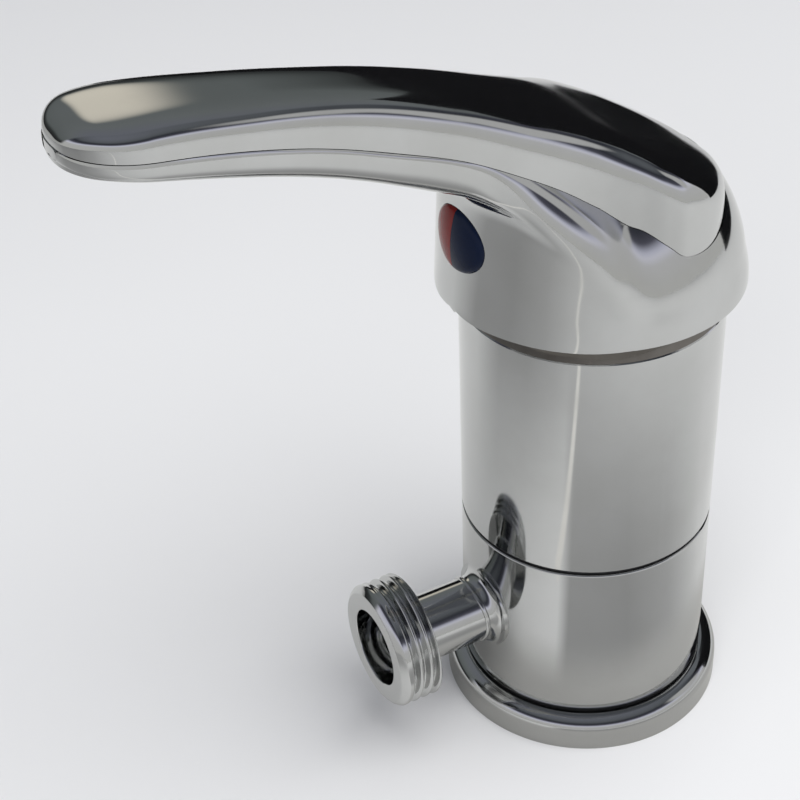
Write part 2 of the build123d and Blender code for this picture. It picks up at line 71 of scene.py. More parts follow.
# How square the strap's section is: 2 is an ellipse, and a high number a box
STRAP_SQUARENESS = [(-16.9, 3.2), (-12.0, 4.2), (-6.0, 5.8), (0.0, 5.4), (8.0, 4.3), (18.0, 3.8),
                    (40.0, 4.2), (82.0, 4.4)]
# Lower half of the lever: where it is widest, how wide it is there, and how far it goes down and up
WAIST_HEIGHT = [(2.0, 82.0), (9.0, 89.1), (13.0, 94.0), (17.5, 98.8), (21.0, 102.2), (24.0, 105.2),
                (27.0, 108.6), (31.0, 110.9), (36.7, 112.8), (45.0, 115.6), (50.6, 117.3), (60.7, 119.7),
                (72.0, 121.7), (82.0, 123.1)]
WAIST_HALF_WIDTH = [(2.0, 19.5), (3.0, 20.0), (5.0, 20.5), (9.0, 20.8), (13.0, 19.0), (17.5, 15.6),
                    (21.0, 12.6), (24.0, 11.0), (28.0, 10.15), (36.0, 9.2), (45.0, 8.55), (62.0, 9.1),
                    (69.6, 9.4)]
UNDERSIDE = [(21.0, 99.8), (24.0, 101.9), (27.0, 103.6), (30.0, 104.8), (40.0, 109.2), (50.0, 112.9),
             (60.0, 116.0), (70.0, 118.8), (82.0, 122.2)]
NECK_DEPTH = [(2.0, 20.5), (9.0, 8.0), (13.0, 4.2), (17.5, 2.9), (21.0, 2.4), (24.0, 3.3)]
# How far the neck goes up inside the dome, before the strap's line takes over
NECK_UP = [(2.0, 19.5), (3.0, 19.0), (5.0, 17.3), (9.0, 14.7)]
# Height of the line where the strap meets the lower half
CREASE = [(4.0, 96.0), (9.0, 99.9), (14.0, 103.4), (19.0, 106.3), (28.0, 110.8), (36.7, 113.9),
          (50.6, 118.4), (60.7, 120.8), (72.0, 122.7), (82.0, 124.2)]

# Ends of the lever, its widest place, and how its plan is rounded off at the tip
REAR = -16.9
WIDEST = -2.0
TIP = 79.6
TIP_START = 69.6
TIP_POWER = 2.3
TIP_LEDGE = 0.2
# Where the strap's crown comes down to the line at either end
CROWN_FALL = 5.0
CROWN_REAR = 1.2
# Dome with its lip, and the foot of the skirt
DOME_CENTRE = 82.0
DOME_RADIUS = 22.6
SKIRT_BOTTOM = 80.4
RIM_RADIUS = 23.2
FLARE = 0.6
FLARE_TOP = 86.0
# Front wall: its curve and lean, the slope that ends it under the neck, and its fillet by half width
WALL_RADIUS = 22.9
WALL_SHIFT = 1.2
WALL_LEAN = 0.055
WALL_END = 81.0
WALL_END_DROP = 0.25
WALL_END_SIDE = 15.0
WALL_END_ROUND = 1.8
WALL_FILLET = 1.2
WALL_FILLET_MORE = 1.6
WALL_FILLET_SIDE = 12.0
WALL_FILLET_MIDDLE = 4.0
# Degrees round the axis from the front, where the wall has gone and where it is whole
WALL_GONE = 82.0
WALL_WHOLE = 54.0
# Neck: where it starts, where it becomes the arm, and its fillet against the dome
NECK_START = 2.0
NECK_END = 24.0
NECK_FILLET = 0.3
NECK_FILLET_MORE = 2.7
NECK_FILLET_WHOLE = 11.0
# The neck's section is an ellipse that gets squarer towards the arm
SQUARER_FROM = 18.0
SQUARER_TO = 28.0
UPPER_SQUARENESS = 6.0
LOWER_SQUARENESS = 1.3
UNDERSIDE_FADE = 75.0
# Groove round the strap
GROOVE = 0.12
GROOVE_STEP = 0.15
GROOVE_DEPTH = 1.7
STRAP_FOOT = 2.2
UNDER_COLUMNS = 41
# Sections of the lower shell are drawn from this line inside it, given as station and as height
SPINE_STATION = [(-16.9, -2.0), (-5.0, 0.0), (2.0, 6.0), (9.0, 12.5), (13.0, 15.2), (17.0, 18.0),
                 (19.0, 19.4), (21.0, 20.8), (24.5, 24.5), (30.0, 30.0)]
SPINE_HEIGHT = [(-16.9, 87.0), (-5.0, 86.5), (2.0, 84.0), (9.0, 88.5), (13.0, 91.5), (17.0, 95.0),
                (19.0, 97.6), (21.0, 100.9), (24.5, 103.6), (30.0, 108.6)]
# They end on the rim up to the turn, then go up the front wall, and follow the underside on the arm,
# where the line runs a share of the way down from the waist
RIM_END = 9.0
ARM_START = 30.0
ARM_SPINE = 0.2
FRONT_STATION = [(9.0, 23.6), (21.0, 23.6), (24.5, 25.3), (30.0, 30.0)]
FRONT_HEIGHT = [(9.0, SKIRT_BOTTOM), (21.0, 101.2), (24.5, 102.7), (30.0, 104.8)]
# Points are evened out over the surface up to this station, and fully up to the next
EVEN_END = 36.0
EVEN_WHOLE = 28.0
EVEN_ROUNDS = 320
EVEN_STEP = 0.9
# Cavity of the lever: foot and wall of its skirt, its domed top, and the metal over it
CAVITY_WALL = 21.8
CAVITY_FOOT = [(22.9, SKIRT_BOTTOM), (22.0, SKIRT_BOTTOM), (CAVITY_WALL, SKIRT_BOTTOM + 0.2),
               (CAVITY_WALL, DOME_CENTRE - 0.2)]
CAVITY_RADIUS = 20.6
CAVITY_STEPS = 24
ROOF_RADIUS = 20.8
# Normals come from the lever's field within this reach of its surface
NORMAL_ROUNDS = 12
NORMAL_REACH = 0.15
NORMAL_FACING = 0.5
# Hub that takes the spindle, measured from the pivot along the spindle's leaning axis
PIVOT_HEIGHT = 72.0
HUB_LEAN = 12.5
HUB_RADIUS = 7.0
HUB_BORE = 5.05
HUB_FOOT = 13.0
HUB_TOP = 30.5
# Swivel sleeve and hose outlet, with distances counted from the outlet's face
BODY_RADIUS = 20.5
SLEEVE_BORE = 17.1
SLEEVE_EDGE = 0.3
SLEEVE_BORE_EDGE = 0.2
OUTLET_HEIGHT = 20.7
OUTLET_REACH = 40.5
OUTLET_DEPTH = 20.5
OUTLET_BORE = 6.45
# Inside of the outlet as distances and radii: water way, washer seat and mouth
OUTLET_INSIDE = [(OUTLET_DEPTH, 3.6), (7.2, 3.6), (7.05, 3.75), (7.0, 4.9), (6.9, 5.0), (5.6, 5.0),
                 (5.5, 5.1), (5.45, 6.2), (5.35, OUTLET_BORE), (4.7, OUTLET_BORE), (2.4, OUTLET_BORE),
                 (0.5, OUTLET_BORE), (0.36, OUTLET_BORE)]
MOUTH_ROUND = 0.3
FACE_RADIUS = 9.5
FACE_ROUND = 0.25
FACE_SWEEP = 50
COLLAR_RADIUS = 10.4
COLLAR_CHAMFER = [(0.55, COLLAR_RADIUS - 0.38), (0.95, COLLAR_RADIUS - 0.08)]
COLLAR_LENGTH = 6.95
COLLAR_ROUND = 0.2
COLLAR_FILLET = 0.5
TUBE_RADIUS = 5.5
ROOT_FILLET = 1.7
# Brazed bead round the root of the tube: its height, its place over the fillet, half its length,
# and its waves as size, number round the tube and turn
BEAD = 0.25
BEAD_PLACE = 0.6
BEAD_HALF = 0.42
BEAD_WAVES = [(0.10, 3, 1), (0.07, 7, 0)]
THREAD_START = 1.6
THREAD_PITCH = 1.8143
THREAD_DEPTH = 1.1
THREAD_SHARPNESS = 1.15
# First row of the thread, rows to a turn, and points on each rounded edge
THREAD_FIRST = 1.1
THREAD_ROWS = 20
ARC_POINTS = 7
# Distances over which the thread runs in from its start, and out before the collar's end
RUN_IN = (-0.2, 1.1)
RUN_OUT = (0.15, 0.75)
# Coloured mark: an oval, given as half its height and how much wider than tall it is
BUTTON_RADIUS = 4.75
BUTTON_WIDE = 1.3
BUTTON_GAP = 0.06
BUTTON_CROWN = 0.65
BUTTON_RIM = 0.3
BUTTON_SPLIT = 0.02
BUTTON_DEPTH = 2.0
BUTTON_LEAN = 4.0
BUTTON_STATION = 22.85
BUTTON_BEND = 23.9
BUTTON_HEIGHT = 92.6
SEAT_REACH = 3.0
# Heights over the seat's floor of the mark's back and of the plug's plate behind it
MARK_BACK = 0.8
PLATE_TOP = 0.75
PLATE_EDGE = 0.6
PLATE_BACK = 0.1
PLATE_BEVEL = 0.2
PLUG_STEM = 2.6
PLUG_LENGTH = 3.0

# Weak reflection of the plug and the coloured mark
PLASTIC_SHINE = 0.12
# Colours round the tap by the sine of the height over the horizon, on the far side and on the near side
FAR_SIDE = [(-0.1, (0.55, 0.55, 0.54)), (0.0, (0.50, 0.50, 0.49)), (0.04, (0.020, 0.021, 0.022)),
            (0.19, (0.050, 0.055, 0.055)), (0.30, (0.150, 0.165, 0.165)), (0.62, (0.190, 0.205, 0.210)),
            (0.85, (0.190, 0.200, 0.230)), (1.0, (0.190, 0.200, 0.235))]
NEAR_SIDE = [(-0.1, (0.64, 0.64, 0.62)), (0.05, (0.64, 0.64, 0.63)), (0.28, (0.66, 0.66, 0.67)),
             (0.38, (0.80, 0.80, 0.90)), (0.44, (0.66, 0.67, 0.80)), (0.54, (0.10, 0.10, 0.13)),
             (0.68, (0.04, 0.043, 0.055)), (0.80, (0.130, 0.140, 0.155)), (1.0, (0.190, 0.200, 0.235))]
LOWEST_SINE = -0.1
# Direction of the near side, and the cosines between which it takes over
NEAR_DIRECTION = (0.966, -0.259, 0.0)
NEAR_EDGE = (-0.40, -0.22)
# Warm glow and pale patch high round the tap: direction, cosines where they start and are whole, and colour
GLOWS = [((-0.885, 0.275, 0.375), 0.984, 1.0, (0.90, 0.84, 0.72, 1)),
         ((0.363, 0.745, 0.559), 0.955, 0.985, (0.60, 0.60, 0.60, 1))]
# Floor as the polished metal sees it, with painted shadow of the tap in its darker stretches, by bearing in
# degrees: close to the foot, and further off
FLOOR_SHADOW_NEAR = [(-180, 1.0), (-120, 0.95), (-60, 1.05), (-52, 1.05), (-44, 0.50), (0, 0.45), (35, 0.58),
              (75, 0.95), (180, 1.0)]
FLOOR_SHADOW_FAR = [(-180, 1.0), (-140, 0.98), (-112, 0.52), (-85, 0.46), (-62, 0.56), (-44, 0.74), (-15, 0.86),
             (20, 0.94), (75, 1.0), (180, 1.0)]
FLOOR_TINT = (1.0, 0.995, 0.97)
# Distances in metres over which the floor goes from near to far, and over which it turns to an even painted
# shade at the foot
FLOOR_FADE = (0.045, 0.15)
FOOT_SHADE_FADE = (0.044, 0.030)
# Painted shade of the floor round the foot, seen only in reflections
FOOT_SHADE_COLOUR = (0.68, 0.67, 0.64, 1)
# Painted highlight strip on that floor, seen only in reflections: where it starts, its normal, its offset
# from the axis and its soft edges
STRIP_START = 0.035
STRIP_NORMAL = (0.53, 0.848, 0.0)
STRIP_OFFSET = 0.0233
STRIP_EDGE = (0.0035, 0.0015)
PAINTED_STRIP_COLOUR = (1.15, 1.12, 1.05, 1)
# Grey of the floor as the camera sees it, from its darkest to its lightest
FLOOR_TONE = (0.80, 0.88)
WHITE = (1, 1, 1, 1)
# Dark card behind the tap, as bearings in degrees and heights in metres, and its distance
CARD_OUTLINE = [(78, 0.12), (92, 0.50), (130, 0.50), (144, 0.22), (164, 0.18), (172, 0.10)]
CARD_DISTANCE = 0.5
# Camera in the frame's metres, with the lens for a sensor 36 mm wide
CAMERA_PLACE = (0.187347, -0.129242, 0.221513)
CAMERA_FORWARD = (-0.71976, 0.36692, -0.58933)
CAMERA_UP = (-0.50412, 0.30738, 0.80708)
CAMERA_LENS = 78.94


def smooth_line(table):
    """Smooth curve through a table of stations and values, without overshoot."""
    where = np.array([row[0] for row in table], float)
    value = np.array([row[1] for row in table], float)
    step = np.diff(where)
    slope = np.diff(value) / step
    tangent = np.zeros_like(value)
    same = slope[:-1] * slope[1:] > 0
    weight_a = 2 * step[1:] + step[:-1]
    weight_b = step[1:] + 2 * step[:-1]
    with np.errstate(divide="ignore", invalid="ignore"):
        mean = (weight_a + weight_b) / (weight_a / slope[:-1] + weight_b / slope[1:])
    tangent[1:-1] = np.where(same, mean, 0.0)
    tangent[0] = slope[0]
    tangent[-1] = slope[-1]

    def at(station):
        station = np.clip(np.asarray(station, float), where[0], where[-1])
        index = np.clip(np.searchsorted(where, station, side="right") - 1, 0, len(step) - 1)
        t = (station - where[index]) / step[index]
        lower = value[index] * (1 + 2 * t) * (1 - t) ** 2 + tangent[index] * step[index] * t * (1 - t) ** 2
        upper = value[index + 1] * t ** 2 * (3 - 2 * t) - tangent[index + 1] * step[index] * t ** 2 * (1 - t)
        return lower + upper

    return at


crown_height = smooth_line(CROWN)
strap_width_line = smooth_line(STRAP_HALF_WIDTH)
strap_squareness = smooth_line(STRAP_SQUARENESS)
waist_height = smooth_line(WAIST_HEIGHT)
waist_width_line = smooth_line(WAIST_HALF_WIDTH)
underside_height = smooth_line(UNDERSIDE)
neck_depth = smooth_line(NECK_DEPTH)
neck_up = smooth_line(NECK_UP)
crease_height = smooth_line(CREASE)
spine_station = smooth_line(SPINE_STATION)
spine_height = smooth_line(SPINE_HEIGHT)
front_station = smooth_line(FRONT_STATION)
front_height = smooth_line(FRONT_HEIGHT)


# Field of the lever

def plan_fade(station, start, end, power):
    """Factor that rounds a width off to nothing between two stations."""
    t = np.clip((np.asarray(station, float) - start) / (end - start), 0.0, 1.0)
    return (1 - t ** power) ** (1 / power)


def strap_half_width(station):
    """Half width of the strap seen from above, round at the rear and at the tip."""
    station = np.asarray(station, float)
    width = strap_width_line(station)
    rear = strap_width_line(WIDEST) * plan_fade(-station, -WIDEST, -REAR, 2.0)
    width = np.where(station < WIDEST, rear, width)
    return width * plan_fade(station, TIP_START, TIP, TIP_POWER)


def eased(value, start, end):
    """Step from 0 at the start to 1 at the end that leaves and arrives gently."""
    share = np.clip((value - start) / (end - start), 0.0, 1.0)
    return share * share * (3 - 2 * share)


def smooth_min(a, b, reach):
    """Smaller of two fields, with a fillet of about the given reach."""
    near = np.maximum(reach - np.abs(a - b), 0.0) / reach
    return np.minimum(a, b) - near * near * reach / 4


def smooth_max(a, b, reach):
    """Larger of two fields, with a rounded edge."""
    return -smooth_min(-a, -b, reach)


def neck_field(x, station, height):
    """Field of the neck and the lower half of the lever, below zero inside."""
    middle = waist_height(station)
    width = waist_width_line(station) * plan_fade(station, TIP_START, TIP + TIP_LEDGE, TIP_POWER) + 1e-4
    down = np.where(station < NECK_END, neck_depth(station), middle - underside_height(station))
    down = down * plan_fade(station, UNDERSIDE_FADE, TIP + 0.5, 2.0) + 0.02
    squarer = eased(station, SQUARER_FROM, SQUARER_TO)
    power_up = 2.0 + UPPER_SQUARENESS * squarer
    power_down = 2.0 + LOWER_SQUARENESS * squarer
    share = np.clip((strap_half_width(station) + GROOVE) / width, 0.0, 0.985)
    up = (crease_height(station) - middle) / (1 - share ** power_up) ** (1 / power_up)
    up = np.where(station < NECK_UP[-1][0], neck_up(station), up)
    above = height > middle
    reach = np.where(above, up, down)
    power = np.where(above, power_up, power_down)
    across = np.abs(x) / width
    along = np.abs(height - middle) / reach
    size = (across ** power + along ** power) ** (1 / power)
    return np.maximum((size - 1) * np.minimum(width, reach), NECK_START - station)


def lever_field(x, station, height):
    """Field of the dome, its lip, the front wall and the neck together, below zero inside."""
    radius = np.sqrt(x * x + station * station)
    rise = np.maximum(height - DOME_CENTRE, 0.0)
    dome = np.sqrt(radius * radius + rise * rise) - DOME_RADIUS
    dome = dome - FLARE * eased(height, FLARE_TOP, SKIRT_BOTTOM)
    shift = WALL_SHIFT - WALL_LEAN * (height - DOME_CENTRE)
    wall = np.sqrt(x * x + (station - shift) ** 2) - WALL_RADIUS
    slope = height - station - WALL_END + WALL_END_DROP * (np.abs(x) - WALL_END_SIDE)
    wall = smooth_max(wall, slope / sqrt(2), WALL_END_ROUND)
    neck = neck_field(x, station, height)
    fillet = NECK_FILLET + NECK_FILLET_MORE * eased(station, NECK_START, NECK_FILLET_WHOLE)
    both = smooth_min(dome, neck, fillet)
    fillet = WALL_FILLET + WALL_FILLET_MORE * eased(np.abs(x), WALL_FILLET_SIDE, WALL_FILLET_MIDDLE)
    front = smooth_min(both, wall, fillet)
    turn = np.degrees(np.arctan2(np.abs(x), station))
    return both + (front - both) * eased(turn, WALL_GONE, WALL_WHOLE)


def field_at(point):
    """Value of the lever's field at points."""
    return lever_field(*np.moveaxis(point, -1, 0))


def field_slope(point, step=0.01):
    """Value and gradient of the lever's field at points."""
    value = field_at(point)
    slope = [(field_at(point + offset) - value) / step for offset in np.eye(3) * step]
    return value, np.stack(slope, -1)


def edge_between(low, high, outside_at, halvings):
    """Values between low and high at which something goes from inside to outside."""
    for _ in range(halvings):
        middle = (low + high) / 2
        outside = outside_at(middle)
        high = np.where(outside, middle, high)
        low = np.where(outside, low, middle)
    return (low + high) / 2


def first_exit(start, direction, reach=62.0, steps=110, halvings=22):
    """Points where rays that start inside the lever leave it."""
    distance = np.linspace(0.0, reach, steps)
    low = np.zeros(start.shape[:-1])
    high = np.full(start.shape[:-1], reach)
    found = np.zeros(start.shape[:-1], bool)
    for near, far in zip(distance[:-1], distance[1:]):
        outside = field_at(start + direction * far) > 0
        new = outside & ~found
        low = np.where(new, near, low)
        high = np.where(new, far, high)
        found |= outside

    def outside_at(travel):
        return field_at(start + direction * travel[..., None]) > 0

    return start + direction * edge_between(low, high, outside_at, halvings)[..., None]


def evened(surface, share, rounds):
    """Even out a grid of points while they stay on the lever's surface."""
    for turn in range(rounds):
        middle = surface[1:-1, 1:-1]
        mean = (surface[:-2, 1:-1] + surface[2:, 1:-1] + surface[1:-1, :-2] + surface[1:-1, 2:]) / 4
        middle = middle + (mean - middle) * EVEN_STEP * share
        if turn > rounds // 2:
            value, slope = field_slope(middle)
            length = np.maximum((slope * slope).sum(-1, keepdims=True), 0.2)
            shift = -value[..., None] * slope / length
            middle = middle + np.clip(shift, -1.0, 1.0) * (share > 0)
        surface[1:-1, 1:-1] = middle
    return surface


def read_all(items, key, width, kind=float):
    """Every value of a mesh property, one row for each item."""
    values = np.zeros(len(items) * width, kind)
    items.foreach_get(key, values)
    return values.reshape(-1, width) if width > 1 else values


def true_normals(mesh):
    """Give the faces that lie on the lever's field its exact normals, so that reflections run smoothly."""
    corners = read_all(mesh.corner_normals, "vector", 3)
    value, slope = field_slope(read_all(mesh.vertices, "co", 3) / MM * TURN_Y)
    normal = unit(slope + 1e-9) * TURN_Y
    near = np.abs(value) < NORMAL_REACH
    edge = read_all(mesh.edges, "vertices", 2, int)
    edge = edge[near[edge].all(1)]
    for _ in range(NORMAL_ROUNDS):
        mixed = normal.copy()
        np.add.at(mixed, edge[:, 0], normal[edge[:, 1]])
        np.add.at(mixed, edge[:, 1], normal[edge[:, 0]])
        normal = unit(mixed)
    start = read_all(mesh.polygons, "loop_start", 1, int)
    total = read_all(mesh.polygons, "loop_total", 1, int)
    face = np.repeat(np.arange(len(total)), total)
    order = np.concatenate([np.arange(a, a + n) for a, n in zip(start, total)])
    vertex = read_all(mesh.loops, "vertex_index", 1, int)[order]
    facing = (read_all(mesh.polygons, "normal", 3)[face] * normal[vertex]).sum(-1) > NORMAL_FACING
    good = np.ones(len(total), bool)
    np.logical_and.at(good, face, facing & near[vertex])
    corners[order[good[face]]] = normal[vertex[good[face]]]
    mesh.normals_split_custom_set(corners.tolist())


# Mesh helpers

def unit(vector):
    """Vectors scaled to length one."""
    return vector / np.linalg.norm(vector, axis=-1, keepdims=True)


def new_mesh_object(name, vertices, faces, sharp=35.0):
    """Object from vertices in millimetres, smooth but for edges sharper than an angle."""
    mesh = bpy.data.meshes.new(name)
    mesh.from_pydata((np.asarray(vertices) * MM).tolist(), [], [list(face) for face in faces])
    piece = bpy.data.objects.new(name, mesh)
    bpy.context.scene.collection.objects.link(piece)
    tidy_mesh(mesh, sharp)
    return piece


def tidy_mesh(mesh, sharp=35.0):
    """Weld double points, drop empty faces, turn faces outwards and mark the sharp edges."""
    work = bmesh.new()
    work.from_mesh(mesh)
    bmesh.ops.remove_doubles(work, verts=work.verts, dist=0.004 * MM)
    bmesh.ops.dissolve_degenerate(work, edges=work.edges, dist=0.001 * MM)
    bmesh.ops.recalc_face_normals(work, faces=work.faces)
    if work.calc_volume(signed=True) < 0:
        bmesh.ops.reverse_faces(work, faces=work.faces)
    work.to_mesh(mesh)
    work.free()
    mesh.shade_smooth()
    mesh.set_sharp_from_angle(angle=radians(sharp))


def grid_faces(first, rows, columns, closed=False):
    """Quads of a grid of points that are numbered row by row."""
    faces = []
    for i in range(rows - 1):
        for j in range(columns - (0 if closed else 1)):
            k = (j + 1) % columns
            faces.append((first + i * columns + j, first + i * columns + k,
                          first + (i + 1) * columns + k, first + (i + 1) * columns + j))
    return faces


def lathe(profile, steps):
    """Round body turned about the z axis from a list of radii and heights, from axis to axis or closed."""
    angle = np.linspace(0, 2 * pi, steps, endpoint=False)
    rows = np.array(profile, float)
    points = np.stack([rows[:, :1] * np.cos(angle), rows[:, :1] * np.sin(angle), rows[:, 1:] + 0 * angle], -1)
    return points.reshape(-1, 3), grid_faces(0, len(rows), steps, closed=True)


def round_corners(corners, pieces=6, hold=0.06):
    """Profile with its corners, each a radius, height and rounding, rounded off between short held flats."""
    profile = []
    for index, (radius, height, rounding) in enumerate(corners):
        here = np.array([radius, height], float)
        before = unit(np.array(corners[index - 1][:2], float) - here)
        after = unit(np.array(corners[(index + 1) % len(corners)][:2], float) - here)
        half = np.arccos(np.clip(before @ after, -1, 1)) / 2
        reach = rounding / np.tan(half)
        centre = here + unit(before + after) * rounding / np.sin(half)
        first = here + before * reach - centre
        last = here + after * reach - centre
        profile.append(here + before * (reach + hold))
        for k in range(pieces + 1):
            share = k / pieces
            profile.append(centre + unit(first * (1 - share) + last * share) * rounding)
        profile.append(here + after * (reach + hold))
    return profile


def to_place(points, place):
    """Points in millimetres moved from a piece's own frame to the tap's frame."""
    turn = np.array(place.to_3x3())
    return points @ turn.T + np.array(place.translation) / MM


# Lever

def eased_stations(count):
    """Stations from the rear to the tip, closer together at both round ends."""
    rear = WIDEST + (REAR - WIDEST) * np.cos(np.linspace(0, pi / 2, count // 5))
    middle = np.linspace(WIDEST, TIP_START, count - count // 5 - count // 6 + 2)[1:-1]
    tip = TIP_START + (TIP - TIP_START) * np.sin(np.linspace(0, pi / 2, count // 6))
    return np.concatenate([rear, middle, tip])


def crease_points(stations, grow, dome_end=28.0, dome_low=86.0, search=30.0, halvings=30):
    """Points where the strap's outline, grown a little, meets the lower half of the lever."""
    width = strap_half_width(stations)
    step = 1e-3
    slope = (strap_half_width(stations + step) - strap_half_width(stations - step)) / (2 * step)
    slope = np.clip(slope, -50, 50)
    normal = unit(np.stack([np.ones_like(slope), -slope], -1))
    x = width + grow * normal[:, 0]
    s = stations + grow * normal[:, 1]
    x[0] = x[-1] = 0.0
    s[0] = REAR - grow
    s[-1] = TIP + grow
    waist = waist_height(s)
    on_dome = s < dome_end
    high = np.where(on_dome, dome_low, waist) + search
    low = np.where(on_dome, np.maximum(dome_low, waist - 1.0), waist)
    height = edge_between(low, high, lambda middle: lever_field(x, s, middle) > 0, halvings)
    return np.stack([x, s, height], -1)


def cavity_roof(x, station, radius):
    """Height of a dome over the lever's cavity."""
    return DOME_CENTRE + np.sqrt(np.maximum(radius ** 2 - x ** 2 - station ** 2, 0.0))


def strap_mesh(columns=300, half=56):
    """Closed shell of the strap: a flat crown with rounded edges over the lever."""
    stations = eased_stations(columns)
    width = strap_half_width(stations)
    width[0] = width[-1] = 0.0
    crease = crease_points(stations, 0.0)[:, 2]
    rise = crown_height(stations) - crease
    rise = rise * plan_fade(stations, TIP - CROWN_FALL, TIP, 2.2)
    rise = rise * plan_fade(-stations, -REAR - CROWN_REAR, -REAR, 2.0)
    power = strap_squareness(stations)[:, None]
    angle = np.linspace(0, pi / 2, half)[None, :]
    size = (np.sin(angle) ** power + np.cos(angle) ** power) ** (1 / power)
    x = width[:, None] * np.sin(angle) / size
    z = crease[:, None] + rise[:, None] * np.cos(angle) / size
    under_x = width[:, None] * np.linspace(1, -1, UNDER_COLUMNS)
    roof = cavity_roof(under_x, stations[:, None], ROOF_RADIUS + 0.1)
    under_z = np.maximum((crease - STRAP_FOOT)[:, None], roof)
    ring_x = np.concatenate([x, under_x, -x[:, ::-1][:, :-1]], 1)
    ring_z = np.concatenate([z, under_z, z[:, ::-1][:, :-1]], 1)
    count = ring_x.shape[1]
    s = np.repeat(stations[:, None], count, 1)
    points = np.stack([ring_x, -s, ring_z], -1).reshape(-1, 3)
    faces = grid_faces(0, len(stations), count, closed=True)
    faces.append(tuple(range(count))[::-1])
    faces.append(tuple(range((len(stations) - 1) * count, len(stations) * count)))
    return points, faces


def arm_place(stations):
    """Stations on the arm, drawn out a little at the tip so that the lower half stands past the strap."""
    return stations + np.maximum(stations - TIP_START, 0.0) * (TIP_LEDGE / (TIP - TIP_START))


def section_ends(stations, last_rim):
    """Where each section of the lower shell ends: on the rim, up the front wall, and along the underside."""
    on_arm = stations >= ARM_START
    ends = np.stack([np.zeros(len(stations)), np.where(on_arm, arm_place(stations), front_station(stations)),
                     np.where(on_arm, underside_height(stations), front_height(stations))], -1)
    turn = pi * (np.arange(last_rim + 1) / last_rim)
    ends[:last_rim + 1] = np.stack([RIM_RADIUS * np.sin(turn), -RIM_RADIUS * np.cos(turn),
                                    np.full_like(turn, SKIRT_BOTTOM)], -1)
    return ends


def section_starts(stations):
    """Points inside the lever from which each section of the lower shell is drawn out to the surface."""
    waist = waist_height(stations)
    arm = waist - ARM_SPINE * (waist - underside_height(stations))
    blend = np.clip((stations - NECK_END) / (ARM_START - NECK_END), 0, 1)
    height = spine_height(stations) * (1 - blend) + arm * blend
    place = np.where(stations < ARM_START, spine_station(stations), arm_place(stations))
    return np.stack([np.zeros(len(stations)), place, height], -1)


def lower_surface(stations, crease, last_rim, rows):
    """Grid of points of the dome, skirt, neck and underside on one side of the lever."""
    spine = section_starts(stations)
    first = unit(crease - spine)
    last = unit(section_ends(stations, last_rim) - spine)
    share = np.linspace(0, 1, rows)[None, :, None]
    angle = np.arccos(np.clip((first * last).sum(-1), -0.9999, 0.9999))[:, None, None]
    direction = (np.sin((1 - share) * angle) * first[:, None]
                 + np.sin(share * angle) * last[:, None]) / np.sin(angle)
    direction = unit(direction)
    start = np.repeat(spine[:, None], rows, 1)
    surface = first_exit(start, direction)
    surface[:, 0] = crease
    below = surface[:, :, 2] < SKIRT_BOTTOM
    scale = np.where(below, (SKIRT_BOTTOM - start[:, :, 2]) / np.minimum(direction[:, :, 2], -1e-6), 0)
    surface = np.where(below[..., None], start + direction * scale[..., None], surface)
    surface[0, :, 0] = 0.0
    surface[-1, :, 0] = 0.0
    surface[last_rim:, -1, 0] = 0.0
    free = int(np.nonzero(stations < EVEN_END)[0][-1])
    share = eased(stations[1:free], EVEN_END, EVEN_WHOLE)[:, None, None]
    surface[:free + 1] = evened(surface[:free + 1], share, EVEN_ROUNDS)
    return surface


def closing_sheet(pit):
    """Grid of points that closes the shell under the strap and arches over the cavity."""
    x = pit[:, :1] * np.linspace(1, -1, UNDER_COLUMNS)
    z = np.maximum(pit[:, 2:], cavity_roof(x, pit[:, 1:2], ROOF_RADIUS))
    sheet = np.stack([x, np.repeat(pit[:, 1:2], UNDER_COLUMNS, 1), z], -1)
    sheet[:, 0] = pit
    sheet[:, -1] = pit * OTHER_SIDE
    return sheet


def cavity_points(rim):
    """Grid of points from the skirt's rim over its foot and up into the domed cavity."""
    angle = np.arctan2(rim[:, 0], -rim[:, 1])
    profile = list(CAVITY_FOOT)
    for k in range(CAVITY_STEPS):
        lift = pi / 2 * k / CAVITY_STEPS
        profile.append((CAVITY_RADIUS * cos(lift), DOME_CENTRE + CAVITY_RADIUS * sin(lift)))
    profile.append((0.0, DOME_CENTRE + CAVITY_RADIUS))
    columns = [rim]
    for radius, height in profile:
        columns.append(np.stack([radius * np.sin(angle), -radius * np.cos(angle),
                                 np.full_like(angle, height)], -1))
    cavity = np.stack(columns, 1)
    cavity[0, :, 0] = 0.0
    cavity[-1, :, 0] = 0.0
    return cavity


def lower_shell_mesh(columns=330, rows=120):
    """Dome, skirt, neck and underside, from the groove round the strap down to the rim and the cavity."""
    stations = eased_stations(columns)
    crease = crease_points(stations, GROOVE)
    last_rim = int(np.nonzero(stations <= RIM_END)[0][-1])
    surface = lower_surface(stations, crease, last_rim, rows)
    pit = crease - (0.0, 0.0, GROOVE_DEPTH)
    step = crease - (0.0, 0.0, GROOVE_STEP)
    side = np.concatenate([pit[:, None], step[:, None], surface], 1)
    cavity = cavity_points(surface[:last_rim + 1, -1])
    grids = [side, side * OTHER_SIDE, closing_sheet(pit), cavity, cavity * OTHER_SIDE]
    faces = []
    first = 0
    for grid in grids:
        faces += grid_faces(first, grid.shape[0], grid.shape[1])
        first += grid.shape[0] * grid.shape[1]
    return np.concatenate([grid.reshape(-1, 3) for grid in grids]) * TURN_Y, faces


def hub_mesh():
    """Tube inside the lever that takes the square end of the spindle, on the spindle's leaning axis."""
    profile = [(HUB_BORE, HUB_FOOT), (HUB_RADIUS, HUB_FOOT), (HUB_RADIUS, HUB_TOP), (HUB_BORE, HUB_TOP),
               (HUB_BORE, HUB_FOOT)]
    points, faces = lathe(profile, SMALL_STEPS)
    place = Matrix.Translation(Vector((0, 0, PIVOT_HEIGHT)) * MM) @ Matrix.Rotation(radians(HUB_LEAN), 4, "X")
    return to_place(points, place), faces


# Hose outlet

